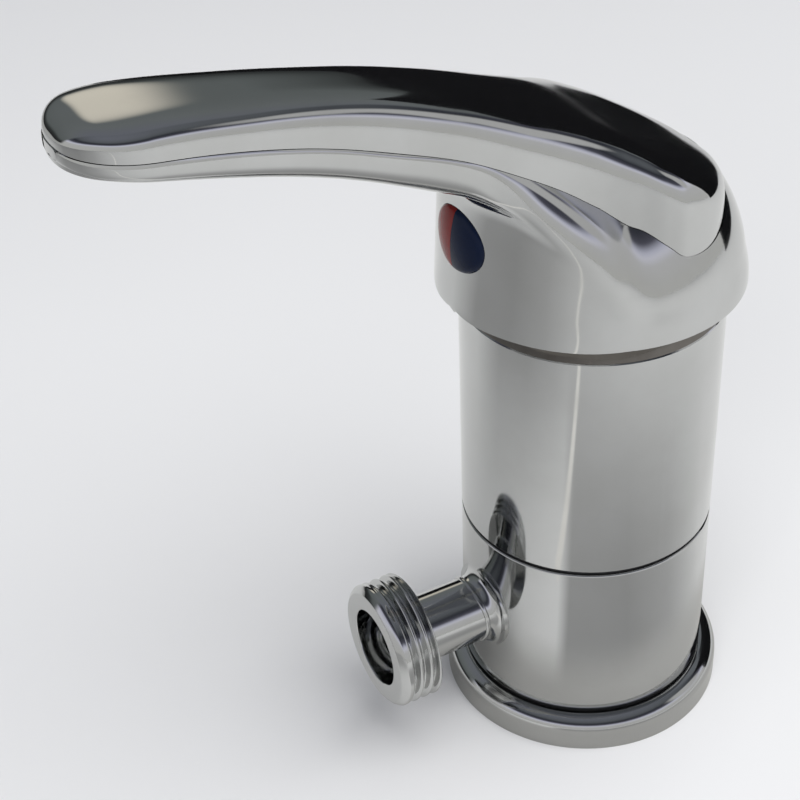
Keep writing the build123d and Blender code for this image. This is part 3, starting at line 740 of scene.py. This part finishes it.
def thread_depth_at(distance, angle):
    """Depth of the hose thread at a distance from the outlet's face, where it runs in and out."""
    turn = (distance - THREAD_START) / THREAD_PITCH - angle / (2 * pi)
    groove = (0.5 - 0.5 * np.cos(2 * pi * turn)) ** THREAD_SHARPNESS
    running_in = eased(distance, THREAD_START + RUN_IN[0], THREAD_START + RUN_IN[1])
    running_out = eased(distance, COLLAR_LENGTH - RUN_OUT[0], COLLAR_LENGTH - RUN_OUT[1])
    return THREAD_DEPTH * groove * running_in * running_out


def outlet_mesh(steps=ROUND_STEPS):
    """Hose outlet: threaded collar with its washer seat, tube, brazed bead and fillet against the sleeve."""
    angle = np.linspace(0, 2 * pi, steps, endpoint=False)
    rows = []

    def ring(distance, radius):
        rows.append((OUTLET_REACH - distance + 0 * angle, radius + 0 * angle))

    def arc(distance, radius, rounding, start, end):
        for turn in np.radians(np.linspace(start, end, ARC_POINTS)):
            ring(distance + rounding * cos(turn), radius + rounding * sin(turn))

    for distance, radius in OUTLET_INSIDE:
        ring(distance, radius)
    arc(MOUTH_ROUND, OUTLET_BORE + MOUTH_ROUND, MOUTH_ROUND, -90, -180)
    arc(FACE_ROUND, FACE_RADIUS - FACE_ROUND, FACE_ROUND, 180, 180 - FACE_SWEEP)
    for distance, radius in COLLAR_CHAMFER:
        ring(distance, radius)
    for distance in np.arange(THREAD_FIRST, COLLAR_LENGTH - COLLAR_ROUND, THREAD_PITCH / THREAD_ROWS):
        ring(distance, COLLAR_RADIUS - thread_depth_at(distance, angle))
    arc(COLLAR_LENGTH - COLLAR_ROUND, COLLAR_RADIUS - COLLAR_ROUND, COLLAR_ROUND, 90, 0)
    ring(COLLAR_LENGTH, COLLAR_RADIUS - COLLAR_ROUND - 0.1)
    arc(COLLAR_LENGTH + COLLAR_FILLET, TUBE_RADIUS + COLLAR_FILLET, COLLAR_FILLET, 180, 270)
    ring(COLLAR_LENGTH + COLLAR_FILLET + 0.06, TUBE_RADIUS)

    def sleeve_at(radius):
        return np.sqrt(BODY_RADIUS ** 2 - (radius * np.cos(angle)) ** 2)

    bead = sleeve_at(TUBE_RADIUS) + ROOT_FILLET + BEAD_PLACE
    rows.append((bead + 0.55, TUBE_RADIUS + 0 * angle))
    wave = 1 + sum(size * np.sin(number * angle + turn) for size, number, turn in BEAD_WAVES)
    for k in range(13):
        turn = pi * k / 12
        rows.append((bead + BEAD_HALF * cos(turn), TUBE_RADIUS + BEAD * sin(turn) * wave))
    for k in range(15):
        turn = pi / 2 * k / 14
        radius = TUBE_RADIUS + ROOT_FILLET * (1 - cos(turn))
        place = sleeve_at(radius) + ROOT_FILLET * (1 - sin(turn)) - 0.03 * sin(turn) ** 4
        rows.append((place, radius + 0 * angle))
    rows.append((sleeve_at(radius) - 0.6, radius + 0 * angle))
    ring(OUTLET_DEPTH, radius)
    s = np.stack([row[0] for row in rows])
    radius = np.stack([row[1] for row in rows])
    points = np.stack([radius * np.cos(angle), -s, OUTLET_HEIGHT + radius * np.sin(angle)], -1)
    count = len(rows)
    faces = grid_faces(0, count, steps, closed=True)
    faces += [((count - 1) * steps + k, (count - 1) * steps + (k + 1) % steps, (k + 1) % steps, k)
              for k in range(steps)]
    return points.reshape(-1, 3), faces


# Coloured mark

def button_frame():
    """Place of the coloured mark: its z axis points out of the front wall."""
    lean = radians(BUTTON_LEAN)
    outward = Vector((0, -cos(lean), sin(lean)))
    across = Vector((1, 0, 0))
    turn = Matrix((across, outward.cross(across), outward)).transposed()
    return Matrix.Translation(Vector((0, -BUTTON_STATION, BUTTON_HEIGHT)) * MM) @ turn.to_4x4()


def cut_button_seat(lever):
    """Cut the oval seat of the mark into the front of the lever."""
    work = bmesh.new()
    radius = (BUTTON_RADIUS + BUTTON_GAP) * MM
    place = button_frame() @ Matrix.Translation((0, 0, (SEAT_REACH - BUTTON_DEPTH) / 2 * MM))
    bmesh.ops.create_cone(work, cap_ends=True, segments=160, radius1=radius, radius2=radius,
                          depth=(BUTTON_DEPTH + SEAT_REACH) * MM,
                          matrix=place @ Matrix.Diagonal((BUTTON_WIDE, 1, 1, 1)))
    mesh = bpy.data.meshes.new("button_seat")
    work.to_mesh(mesh)
    work.free()
    tool = bpy.data.objects.new("button_seat", mesh)
    bpy.context.scene.collection.objects.link(tool)
    cut = lever.modifiers.new("seat", "BOOLEAN")
    cut.operation = "DIFFERENCE"
    cut.solver = "EXACT"
    cut.object = tool
    bpy.context.view_layer.update()
    graph = bpy.context.evaluated_depsgraph_get()
    result = bpy.data.meshes.new_from_object(lever.evaluated_get(graph))
    lever.modifiers.clear()
    lever.data = result
    bpy.data.objects.remove(tool)
    tidy_mesh(result)


def half_button_mesh(side, rings=24, steps=72):
    """One half of the mark: a low dome bent round the wall, flat towards the other half."""
    share = np.sin(np.linspace(0, 1, rings) * pi / 2)
    radius = BUTTON_RADIUS * share
    crown = BUTTON_CROWN * (1 - share ** 2) + BUTTON_RIM * (1 - share ** 24)
    angle = np.linspace(-pi / 2, pi / 2, steps)
    x = side * (radius[:, None] * np.cos(angle) * BUTTON_WIDE + BUTTON_SPLIT)
    y = radius[:, None] * np.sin(angle)
    bend = np.sqrt(BUTTON_BEND ** 2 - x ** 2) - sqrt(BUTTON_BEND ** 2 - (BUTTON_RADIUS * BUTTON_WIDE) ** 2)
    front = np.stack([x, y, crown[:, None] + bend], -1).reshape(-1, 3)
    back = front.copy()
    back[:, 2] = -BUTTON_DEPTH + MARK_BACK
    count = rings * steps
    faces = grid_faces(0, rings, steps) + grid_faces(count, rings, steps)
    for k in range(steps - 1):
        a = (rings - 1) * steps + k
        faces.append((a, a + 1, count + a + 1, count + a))
    for k in range(rings - 1):
        for column in (0, steps - 1):
            a = k * steps + column
            faces.append((a, a + steps, count + a + steps, count + a))
    return np.concatenate([front, back]), faces


def plug_mesh():
    """Plug behind the mark: an oval plate on a round stem."""
    profile = [(0.0, PLATE_TOP), (BUTTON_RADIUS - PLATE_BEVEL, PLATE_TOP), (BUTTON_RADIUS, PLATE_EDGE),
               (BUTTON_RADIUS, PLATE_BACK), (PLUG_STEM, PLATE_BACK), (PLUG_STEM, -PLUG_LENGTH),
               (0.0, -PLUG_LENGTH)]
    points, faces = lathe([(radius, -BUTTON_DEPTH + height) for radius, height in profile], SMALL_STEPS)
    plate = np.hypot(points[:, 0], points[:, 1]) > PLUG_STEM + 0.1
    points[:, 0] *= np.where(plate, BUTTON_WIDE, 1.0)
    return points, faces


# Shader helpers

def add_node(tree, kind, inputs=None, **settings):
    """New node with its settings and inputs, where an input is a value or another node's output."""
    node = tree.nodes.new(kind)
    for key, value in settings.items():
        setattr(node, key, value)
    for key, value in (inputs or {}).items():
        socket = node.inputs[key]
        if isinstance(value, bpy.types.NodeSocket):
            tree.links.new(value, socket)
        else:
            socket.default_value = value
    return node


def mix(tree, factor, first, second, blend="MIX"):
    """Colour mixed from two others."""
    return add_node(tree, "ShaderNodeMix", {"Factor": factor, "A": first, "B": second},
                    data_type="RGBA", blend_type=blend).outputs["Result"]


def ramp(tree, value, low, high, start=0.0, end=1.0, shape="LINEAR"):
    """Value that goes from its start to its end while another goes from low to high."""
    return add_node(tree, "ShaderNodeMapRange", {"Value": value, "From Min": low, "From Max": high,
                                                 "To Min": start, "To Max": end},
                    interpolation_type=shape).outputs["Result"]


def maths(tree, operation, *values):
    """Result of one operation on values and outputs."""
    return add_node(tree, "ShaderNodeMath", dict(enumerate(values)), operation=operation).outputs[0]


def along(tree, place, direction):
    """How far a place lies along a direction."""
    return add_node(tree, "ShaderNodeVectorMath", {0: place, 1: direction},
                    operation="DOT_PRODUCT").outputs["Value"]


def noise(tree, place, scale, detail, **inputs):
    """Soft noise at a place."""
    return add_node(tree, "ShaderNodeTexNoise", {"Vector": place, "Scale": scale, "Detail": detail,
                                                 **inputs}).outputs["Fac"]


def colour_band(tree, value, rows):
    """Colour that follows a value through rows of a position and a colour."""
    band = add_node(tree, "ShaderNodeValToRGB", {"Fac": value})
    stops = band.color_ramp.elements
    for position, _ in rows[2:]:
        stops.new(position)
    for stop, (position, colour) in zip(stops, rows):
        stop.position = position
        stop.color = (*colour, 1.0)
    return band.outputs["Color"]


def new_group(name, inputs):
    """Empty shader node group with named inputs that puts out a colour, a roughness and a height."""
    group = bpy.data.node_groups.new(name, "ShaderNodeTree")
    for label, default in inputs.items():
        kind = "NodeSocketColor" if isinstance(default, tuple) else "NodeSocketFloat"
        socket = group.interface.new_socket(name=label, in_out="INPUT", socket_type=kind)
        socket.default_value = default
    for label, kind in (("Colour", "NodeSocketColor"), ("Roughness", "NodeSocketFloat"),
                        ("Height", "NodeSocketFloat")):
        group.interface.new_socket(name=label, in_out="OUTPUT", socket_type=kind)
    return group, group.nodes.new("NodeGroupInput").outputs


def put_out(group, colour, roughness, height):
    """Link the three results of a group to its output node."""
    leave = group.nodes.new("NodeGroupOutput")
    group.links.new(colour, leave.inputs["Colour"])
    group.links.new(roughness, leave.inputs["Roughness"])
    group.links.new(height, leave.inputs["Height"])
    return group


# Finishes

def polish_group():
    """Handled polish: soft smudges, dried water spots and a faint ripple."""
    group, entry = new_group("handled_polish", {
        "Colour": (0.55, 0.556, 0.554, 1), "Film Colour": (0.4, 0.4, 0.38, 1), "Roughness": 0.06,
        "Smudge Scale": 60.0, "Smudge Roughness": 0.07, "Film": 0.25})
    place = add_node(group, "ShaderNodeTexCoord").outputs["Object"]
    cloud = noise(group, place, entry["Smudge Scale"], 6.0, Roughness=0.62)
    smear = ramp(group, cloud, 0.42, 0.72)
    spots = add_node(group, "ShaderNodeTexVoronoi", {"Vector": place, "Scale": 420.0}, feature="F1")
    drops = ramp(group, spots.outputs["Distance"], 0.10, 0.16, 1.0, 0.0)
    patches = ramp(group, cloud, 0.55, 0.62, 0.0, 0.35)
    mask = maths(group, "MAXIMUM", smear, maths(group, "MULTIPLY", drops, patches))
    film = maths(group, "MULTIPLY", mask, entry["Film"])
    colour = mix(group, film, entry["Colour"], entry["Film Colour"])
    roughness = maths(group, "MULTIPLY_ADD", mask, entry["Smudge Roughness"], entry["Roughness"])
    ripple = noise(group, place, 55.0, 2.0)
    return put_out(group, colour, roughness, ripple)


def moulded_group():
    """Moulded or cast surface: fine grain, slight colour drift and matt patches."""
    group, entry = new_group("moulded_surface", {
        "Colour": (0.5, 0.5, 0.5, 1), "Drift": 0.12, "Roughness": 0.45, "Roughness Drift": 0.15,
        "Grain Scale": 1500.0})
    place = add_node(group, "ShaderNodeTexCoord").outputs["Object"]
    cloud = noise(group, place, 120.0, 4.0)
    grain = noise(group, place, entry["Grain Scale"], 3.0)
    shade = ramp(group, cloud, 0.3, 0.7, 1.0, 0.0)
    colour = mix(group, maths(group, "MULTIPLY", shade, entry["Drift"]), entry["Colour"], (0, 0, 0, 1))
    roughness = maths(group, "MULTIPLY_ADD", cloud, entry["Roughness Drift"], entry["Roughness"])
    return put_out(group, colour, roughness, grain)


def grouped_material(name, group, values, metallic=0.0, bump=0.02, bump_distance=0.0001, **surface):
    """Material whose Principled shader takes colour, roughness and bump from one of the groups."""
    material = bpy.data.materials.new(name)
    material.use_nodes = True
    tree = material.node_tree
    shader = tree.nodes["Principled BSDF"]
    effect = add_node(tree, "ShaderNodeGroup", node_tree=group)
    for key, value in values.items():
        effect.inputs[key].default_value = value
    tree.links.new(effect.outputs["Colour"], shader.inputs["Base Color"])
    tree.links.new(effect.outputs["Roughness"], shader.inputs["Roughness"])
    relief = add_node(tree, "ShaderNodeBump", {"Height": effect.outputs["Height"], "Strength": bump,
                                               "Distance": bump_distance})
    tree.links.new(relief.outputs["Normal"], shader.inputs["Normal"])
    shader.inputs["Metallic"].default_value = metallic
    for key, value in surface.items():
        shader.inputs[key.replace("_", " ")].default_value = value
    return material


def finish_table(colours):
    """Every finish by name: its group, the values it gives the group, and its own settings."""
    polish = polish_group()
    moulded = moulded_group()
    plated = {"metallic": 1.0, "bump": 0.012, "bump_distance": 0.002}
    metal = {"metallic": 1.0, "bump": 0.05}
    mark = {"bump": 0.05, "Specular_IOR_Level": PLASTIC_SHINE}
    return {
        "polished_chrome": (polish, {"Colour": rgba(colours.chrome)}, plated),
        # Painted shade: a much darker copy of the chrome that stands in for the shade round the dome cover
        # under the lever
        "painted_shade_chrome": (polish, {"Colour": (0.14, 0.13, 0.12, 1)}, plated),
        "brass": (polish, {"Colour": (0.72, 0.52, 0.25, 1), "Film Colour": (0.35, 0.22, 0.09, 1),
                           "Roughness": 0.22}, metal),
        "spindle_steel": (polish, {"Colour": (0.5, 0.49, 0.47, 1), "Roughness": 0.25}, metal),
        "spring_steel": (polish, {"Colour": (0.3, 0.29, 0.28, 1), "Roughness": 0.32}, metal),
        "seal_rubber": (moulded, {"Colour": (0.012, 0.012, 0.012, 1), "Roughness": 0.5}, {"bump": 0.2}),
        "slip_plastic": (moulded, {"Colour": (0.012, 0.012, 0.013, 1), "Roughness": 0.4}, {"bump": 0.1}),
        "cartridge_plastic": (moulded, {"Colour": (0.72, 0.72, 0.69, 1), "Roughness": 0.35}, {"bump": 0.1}),
        "turret_plastic": (moulded, {"Colour": (0.08, 0.1, 0.13, 1), "Roughness": 0.35}, {"bump": 0.1}),
        "ceramic": (moulded, {"Colour": (0.85, 0.84, 0.8, 1), "Drift": 0.04, "Roughness": 0.08},
                    {"bump": 0.02}),
        "plug_plastic": (moulded, {"Colour": (0.02, 0.02, 0.022, 1), "Roughness": 0.35},
                         {"bump": 0.1, "Specular_IOR_Level": PLASTIC_SHINE}),
        "red_plastic": (moulded, {"Colour": rgba(colours.hot), "Roughness": 0.12, "Drift": 0.3}, mark),
        "blue_plastic": (moulded, {"Colour": rgba(colours.cold), "Roughness": 0.12, "Drift": 0.3}, mark),
    }


def rgba(colour):
    """Colour with full opacity."""
    return (*colour, 1.0)


def give(piece, material):
    """One material for the whole piece."""
    piece.data.materials.clear()
    piece.data.materials.append(material)


def node_finish(node):
    """Finish of one of the frame's own pieces."""
    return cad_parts[node].material_slots[0].material


# Settings and the tap's own pieces

class TapSizes(bpy.types.PropertyGroup):
    """Sizes of the stage that a user may change."""

    floor_width: FloatProperty(name="Floor Width", description="Side of the square floor", default=1.4,
                               unit="LENGTH", min=1.0)
    key_height: FloatProperty(name="Key Light Height",
                              description="Height of the soft key light over the floor",
                              default=0.9, unit="LENGTH", min=0.3)


class TapColours(bpy.types.PropertyGroup):
    """Colours of the tap that a user may change."""

    chrome: FloatVectorProperty(name="Chrome", description="Colour of the polished chrome plating",
                                default=(0.549, 0.556, 0.554), subtype="COLOR", size=3, min=0, max=1)
    hot: FloatVectorProperty(name="Hot Mark", description="Colour of the hot half of the oval mark",
                             default=(0.19, 0.013, 0.012), subtype="COLOR", size=3, min=0, max=1)
    cold: FloatVectorProperty(name="Cold Mark", description="Colour of the cold half of the oval mark",
                              default=(0.006, 0.012, 0.035), subtype="COLOR", size=3, min=0, max=1)


class TAP_OT_finishes(bpy.types.Operator):
    """Make every finish of the tap and give the frame's own pieces theirs"""

    bl_idname = "tap.finishes"
    bl_label = "Make Finishes"

    def execute(self, context):
        finishes = {}
        for name, (group, values, settings) in finish_table(context.scene.tap_colours).items():
            finishes[name] = grouped_material(name, group, values, **settings)
        for node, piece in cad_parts.items():
            slot = piece.data.materials[0].name.split(".")[0]
            # The dome cover gets the darker chrome as painted shade of the gap under the lever
            finish = finishes.get("painted_shade_chrome" if node == "dome_cover" else slot)
            if finish is None:
                raise RuntimeError("no finish for " + node)
            for index in range(len(piece.material_slots)):
                piece.material_slots[index].material = finish
        return {"FINISHED"}


class TAP_OT_lever(bpy.types.Operator):
    """Build the cast lever with its dome, neck, strap and hub, in place of the frame's lever"""

    bl_idname = "tap.lever"
    bl_label = "Make Lever"

    def execute(self, context):
        chrome = node_finish("body")
        lever = new_mesh_object("lever", *lower_shell_mesh())
        cut_button_seat(lever)
        true_normals(lever.data)
        strap = new_mesh_object("strap", *strap_mesh())
        hub = new_mesh_object("lever_hub", *hub_mesh())
        context.view_layer.update()
        for piece in (hub, lever, strap):
            give(piece, chrome)
            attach(piece, "lever")
        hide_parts("handle")
        return {"FINISHED"}


class TAP_OT_button(bpy.types.Operator):
    """Build the two coloured halves of the oval mark and the plug behind them"""

    bl_idname = "tap.button"
    bl_label = "Make Coloured Mark"

    def execute(self, context):
        place = button_frame()
        for name, node, slot, (points, faces) in (
                ("hot_half", "hot_mark", "red_plastic", half_button_mesh(-1)),
                ("cold_half", "cold_mark", "blue_plastic", half_button_mesh(1)),
                ("button_plug", "indicator_plug", "plug_plastic", plug_mesh())):
            piece = new_mesh_object(name, to_place(points, place), faces)
            give(piece, node_finish(node))
            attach(piece, "lever")
            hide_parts(node)
        return {"FINISHED"}


class TAP_OT_outlet(bpy.types.Operator):
    """Build the swivel sleeve and the threaded hose outlet that is brazed to it"""

    bl_idname = "tap.outlet"
    bl_label = "Make Outlet"

    def execute(self, context):
        low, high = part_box("outlet_sleeve")
        bottom = low[2] / MM
        top = high[2] / MM
        profile = round_corners([(BODY_RADIUS, bottom, SLEEVE_EDGE), (BODY_RADIUS, top, SLEEVE_EDGE),
                                 (SLEEVE_BORE, top, SLEEVE_BORE_EDGE),
                                 (SLEEVE_BORE, bottom, SLEEVE_BORE_EDGE)])
        sleeve = new_mesh_object("swivel_sleeve", *lathe(profile + profile[:1], ROUND_STEPS))
        nozzle = new_mesh_object("hose_nozzle", *outlet_mesh())
        for piece, node in ((sleeve, "outlet_sleeve"), (nozzle, "outlet_nipple")):
            give(piece, node_finish(node))
            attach(piece, "outlet")
            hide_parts(node)
        return {"FINISHED"}


# Stage

def world_light(world):
    """Dim surroundings above the horizon with a lighter side, white to the camera."""
    world.use_nodes = True
    tree = world.node_tree
    tree.nodes.clear()
    place = add_node(tree, "ShaderNodeTexCoord").outputs["Generated"]
    split = add_node(tree, "ShaderNodeSeparateXYZ", {0: place})
    height = ramp(tree, split.outputs["Z"], LOWEST_SINE, 1.0)
    sides = []
    for rows in (FAR_SIDE, NEAR_SIDE):
        spread = [((sine - LOWEST_SINE) / (1 - LOWEST_SINE), colour) for sine, colour in rows]
        sides.append(colour_band(tree, height, spread))
    colour = mix(tree, ramp(tree, along(tree, place, NEAR_DIRECTION), *NEAR_EDGE, shape="SMOOTHSTEP"), *sides)
    for direction, start, end, glow in GLOWS:
        share = ramp(tree, along(tree, place, direction), start, end, shape="SMOOTHSTEP")
        colour = mix(tree, share, colour, glow)
    path = add_node(tree, "ShaderNodeLightPath")
    colour = mix(tree, path.outputs["Is Camera Ray"], colour, WHITE)
    shader = add_node(tree, "ShaderNodeBackground", {"Color": colour, "Strength": 1.0})
    out = add_node(tree, "ShaderNodeOutputWorld")
    tree.links.new(shader.outputs["Background"], out.inputs["Surface"])


def far_card(name, outline, distance, steps=64):
    """Dark curved card round part of the tap, by bearings and heights, that only shows in reflections."""
    bearing = np.linspace(outline[0][0], outline[-1][0], steps)
    top = np.interp(bearing, [row[0] for row in outline], [row[1] for row in outline])
    angle = np.radians(bearing)
    ring = np.stack([np.cos(angle), np.sin(angle)], -1) * distance / MM
    low = np.concatenate([ring, np.zeros((steps, 1))], 1)
    high = np.concatenate([ring, top[:, None] / MM], 1)
    card = new_mesh_object(name, np.concatenate([low, high]), grid_faces(0, 2, steps))
    give(card, matt_material(name, (0.01, 0.01, 0.011, 1), 1.0, 0.0))
    card.visible_camera = False
    card.visible_diffuse = False
    card.visible_shadow = False
    return card


def matt_material(name, colour, roughness, reflection):
    """Dull material of the stage, where the colour is a value or is linked afterwards."""
    material = bpy.data.materials.new(name)
    material.use_nodes = True
    shader = material.node_tree.nodes["Principled BSDF"]
    shader.inputs["Base Color"].default_value = colour
    shader.inputs["Roughness"].default_value = roughness
    shader.inputs["Specular IOR Level"].default_value = reflection
    return material


def add_lamp(name, place, target, width, power):
    """Soft square lamp that points at a target and doesn't show in reflections."""
    data = bpy.data.lights.new(name, "AREA")
    data.shape = "RECTANGLE"
    data.size = width
    data.size_y = width
    data.energy = power
    lamp = bpy.data.objects.new(name, data)
    lamp.location = place
    lamp.rotation_euler = (Vector(target) - Vector(place)).to_track_quat("-Z", "Y").to_euler()
    lamp.visible_glossy = False
    bpy.context.scene.collection.objects.link(lamp)


def floor_in_metal(tree, plain):
    """Colour of the floor: plain to the camera, with painted shadow patches and a painted highlight strip in
    reflections.
    """
    place = add_node(tree, "ShaderNodeTexCoord").outputs["Object"]
    split = add_node(tree, "ShaderNodeSeparateXYZ", {0: place})
    bearing = maths(tree, "ARCTAN2", split.outputs["Y"], split.outputs["X"])
    turn = maths(tree, "MULTIPLY_ADD", bearing, 1 / (2 * pi), 0.5)
    bands = []
    # Painted shadow of the tap: darker stretches of the floor by bearing, seen only in reflections
    for rows in (FLOOR_SHADOW_NEAR, FLOOR_SHADOW_FAR):
        spread = [(degrees / 360 + 0.5, [shade * part for part in FLOOR_TINT]) for degrees, shade in rows]
        bands.append(colour_band(tree, turn, spread))
    away = add_node(tree, "ShaderNodeVectorMath", {0: place}, operation="LENGTH").outputs["Value"]
    colour = mix(tree, ramp(tree, away, *FLOOR_FADE, shape="SMOOTHSTEP"), *bands)
    # Painted shade: the floor turns an even darker grey round the foot
    colour = mix(tree, ramp(tree, away, *FOOT_SHADE_FADE, shape="SMOOTHSTEP"), colour, FOOT_SHADE_COLOUR)
    # Painted highlight: a bright strip in the floor that only the metal sees
    aside = maths(tree, "ABSOLUTE", maths(tree, "ADD", along(tree, place, STRIP_NORMAL), STRIP_OFFSET))
    strip = maths(tree, "MULTIPLY", ramp(tree, aside, *STRIP_EDGE, shape="SMOOTHSTEP"),
                  maths(tree, "GREATER_THAN", split.outputs["X"], STRIP_START))
    colour = mix(tree, strip, colour, PAINTED_STRIP_COLOUR)
    # Only glossy rays see the painted shadow and highlight, and other rays see plain white
    path = add_node(tree, "ShaderNodeLightPath")
    colour = mix(tree, path.outputs["Is Glossy Ray"], WHITE, colour)
    return mix(tree, 1.0, plain, colour, blend="MULTIPLY")


def add_floor(width):
    """Square pale floor."""
    half = width / 2 / MM
    floor = new_mesh_object("floor", [(-half, -half, 0), (half, -half, 0), (half, half, 0), (-half, half, 0)],
                            [(0, 1, 2, 3)])
    material = matt_material("pale_floor", WHITE, 0.9, 0.1)
    tree = material.node_tree
    grain = add_node(tree, "ShaderNodeTexNoise", {"Scale": 3.0, "Detail": 3.0})
    tone = ramp(tree, grain.outputs["Fac"], 0.0, 1.0, *FLOOR_TONE)
    tree.links.new(floor_in_metal(tree, tone), tree.nodes["Principled BSDF"].inputs["Base Color"])
    give(floor, material)
    return floor


def add_camera():
    """Camera at its fitted place."""
    data = bpy.data.cameras.new("camera")
    data.sensor_width = 36.0
    data.lens = CAMERA_LENS
    data.clip_start = 0.01
    camera = bpy.data.objects.new("camera", data)
    bpy.context.scene.collection.objects.link(camera)
    forward = Vector(CAMERA_FORWARD).normalized()
    right = forward.cross(Vector(CAMERA_UP)).normalized()
    turn = Matrix((right, right.cross(forward), -forward)).transposed()
    camera.matrix_world = Matrix.Translation(CAMERA_PLACE) @ turn.to_4x4()
    return camera


class TAP_OT_stage(bpy.types.Operator):
    """Set the pale floor, the dark card, the soft lights, the world and the camera"""

    bl_idname = "tap.stage"
    bl_label = "Make Stage"

    def execute(self, context):
        sizes = context.scene.tap_sizes
        add_floor(sizes.floor_width)
        far_card("far_card", CARD_OUTLINE, CARD_DISTANCE)
        add_lamp("key_light", (0.25, 0.15, sizes.key_height), target=(0, 0, 0), width=0.9, power=8.6)
        add_lamp("front_light", (0.8, -0.9, 0.9), target=(0, 0, 0.05), width=0.6, power=4.2)
        world = bpy.data.worlds.new("studio")
        context.scene.world = world
        world_light(world)
        context.scene.view_settings.view_transform = "Standard"
        context.scene.camera = add_camera()
        return {"FINISHED"}


class TAP_PT_sidebar(bpy.types.Panel):
    """Sizes, colours and build steps of the mixer tap"""

    bl_label = "Mixer Tap"
    bl_space_type = "VIEW_3D"
    bl_region_type = "UI"
    bl_category = "Mixer Tap"

    def draw(self, context):
        layout = self.layout
        for settings in (context.scene.tap_sizes, context.scene.tap_colours):
            for key in settings.__annotations__:
                layout.prop(settings, key)
        for step in STEPS:
            layout.operator(step.bl_idname)


STEPS = (TAP_OT_finishes, TAP_OT_lever, TAP_OT_button, TAP_OT_outlet, TAP_OT_stage)
CLASSES = (TapSizes, TapColours, *STEPS, TAP_PT_sidebar)


def register():
    """Register every class and hang the settings on the scene."""
    for item in CLASSES:
        bpy.utils.register_class(item)
    bpy.types.Scene.tap_sizes = PointerProperty(type=TapSizes)
    bpy.types.Scene.tap_colours = PointerProperty(type=TapColours)


def unregister():
    """Take the settings and classes away again."""
    del bpy.types.Scene.tap_colours
    del bpy.types.Scene.tap_sizes
    for item in reversed(CLASSES):
        bpy.utils.unregister_class(item)


def main():
    """Build the whole scene."""
    register()
    bpy.ops.tap.finishes()
    bpy.ops.tap.lever()
    bpy.ops.tap.button()
    bpy.ops.tap.outlet()
    bpy.ops.tap.stage()


if __name__ == "__main__":
    main()
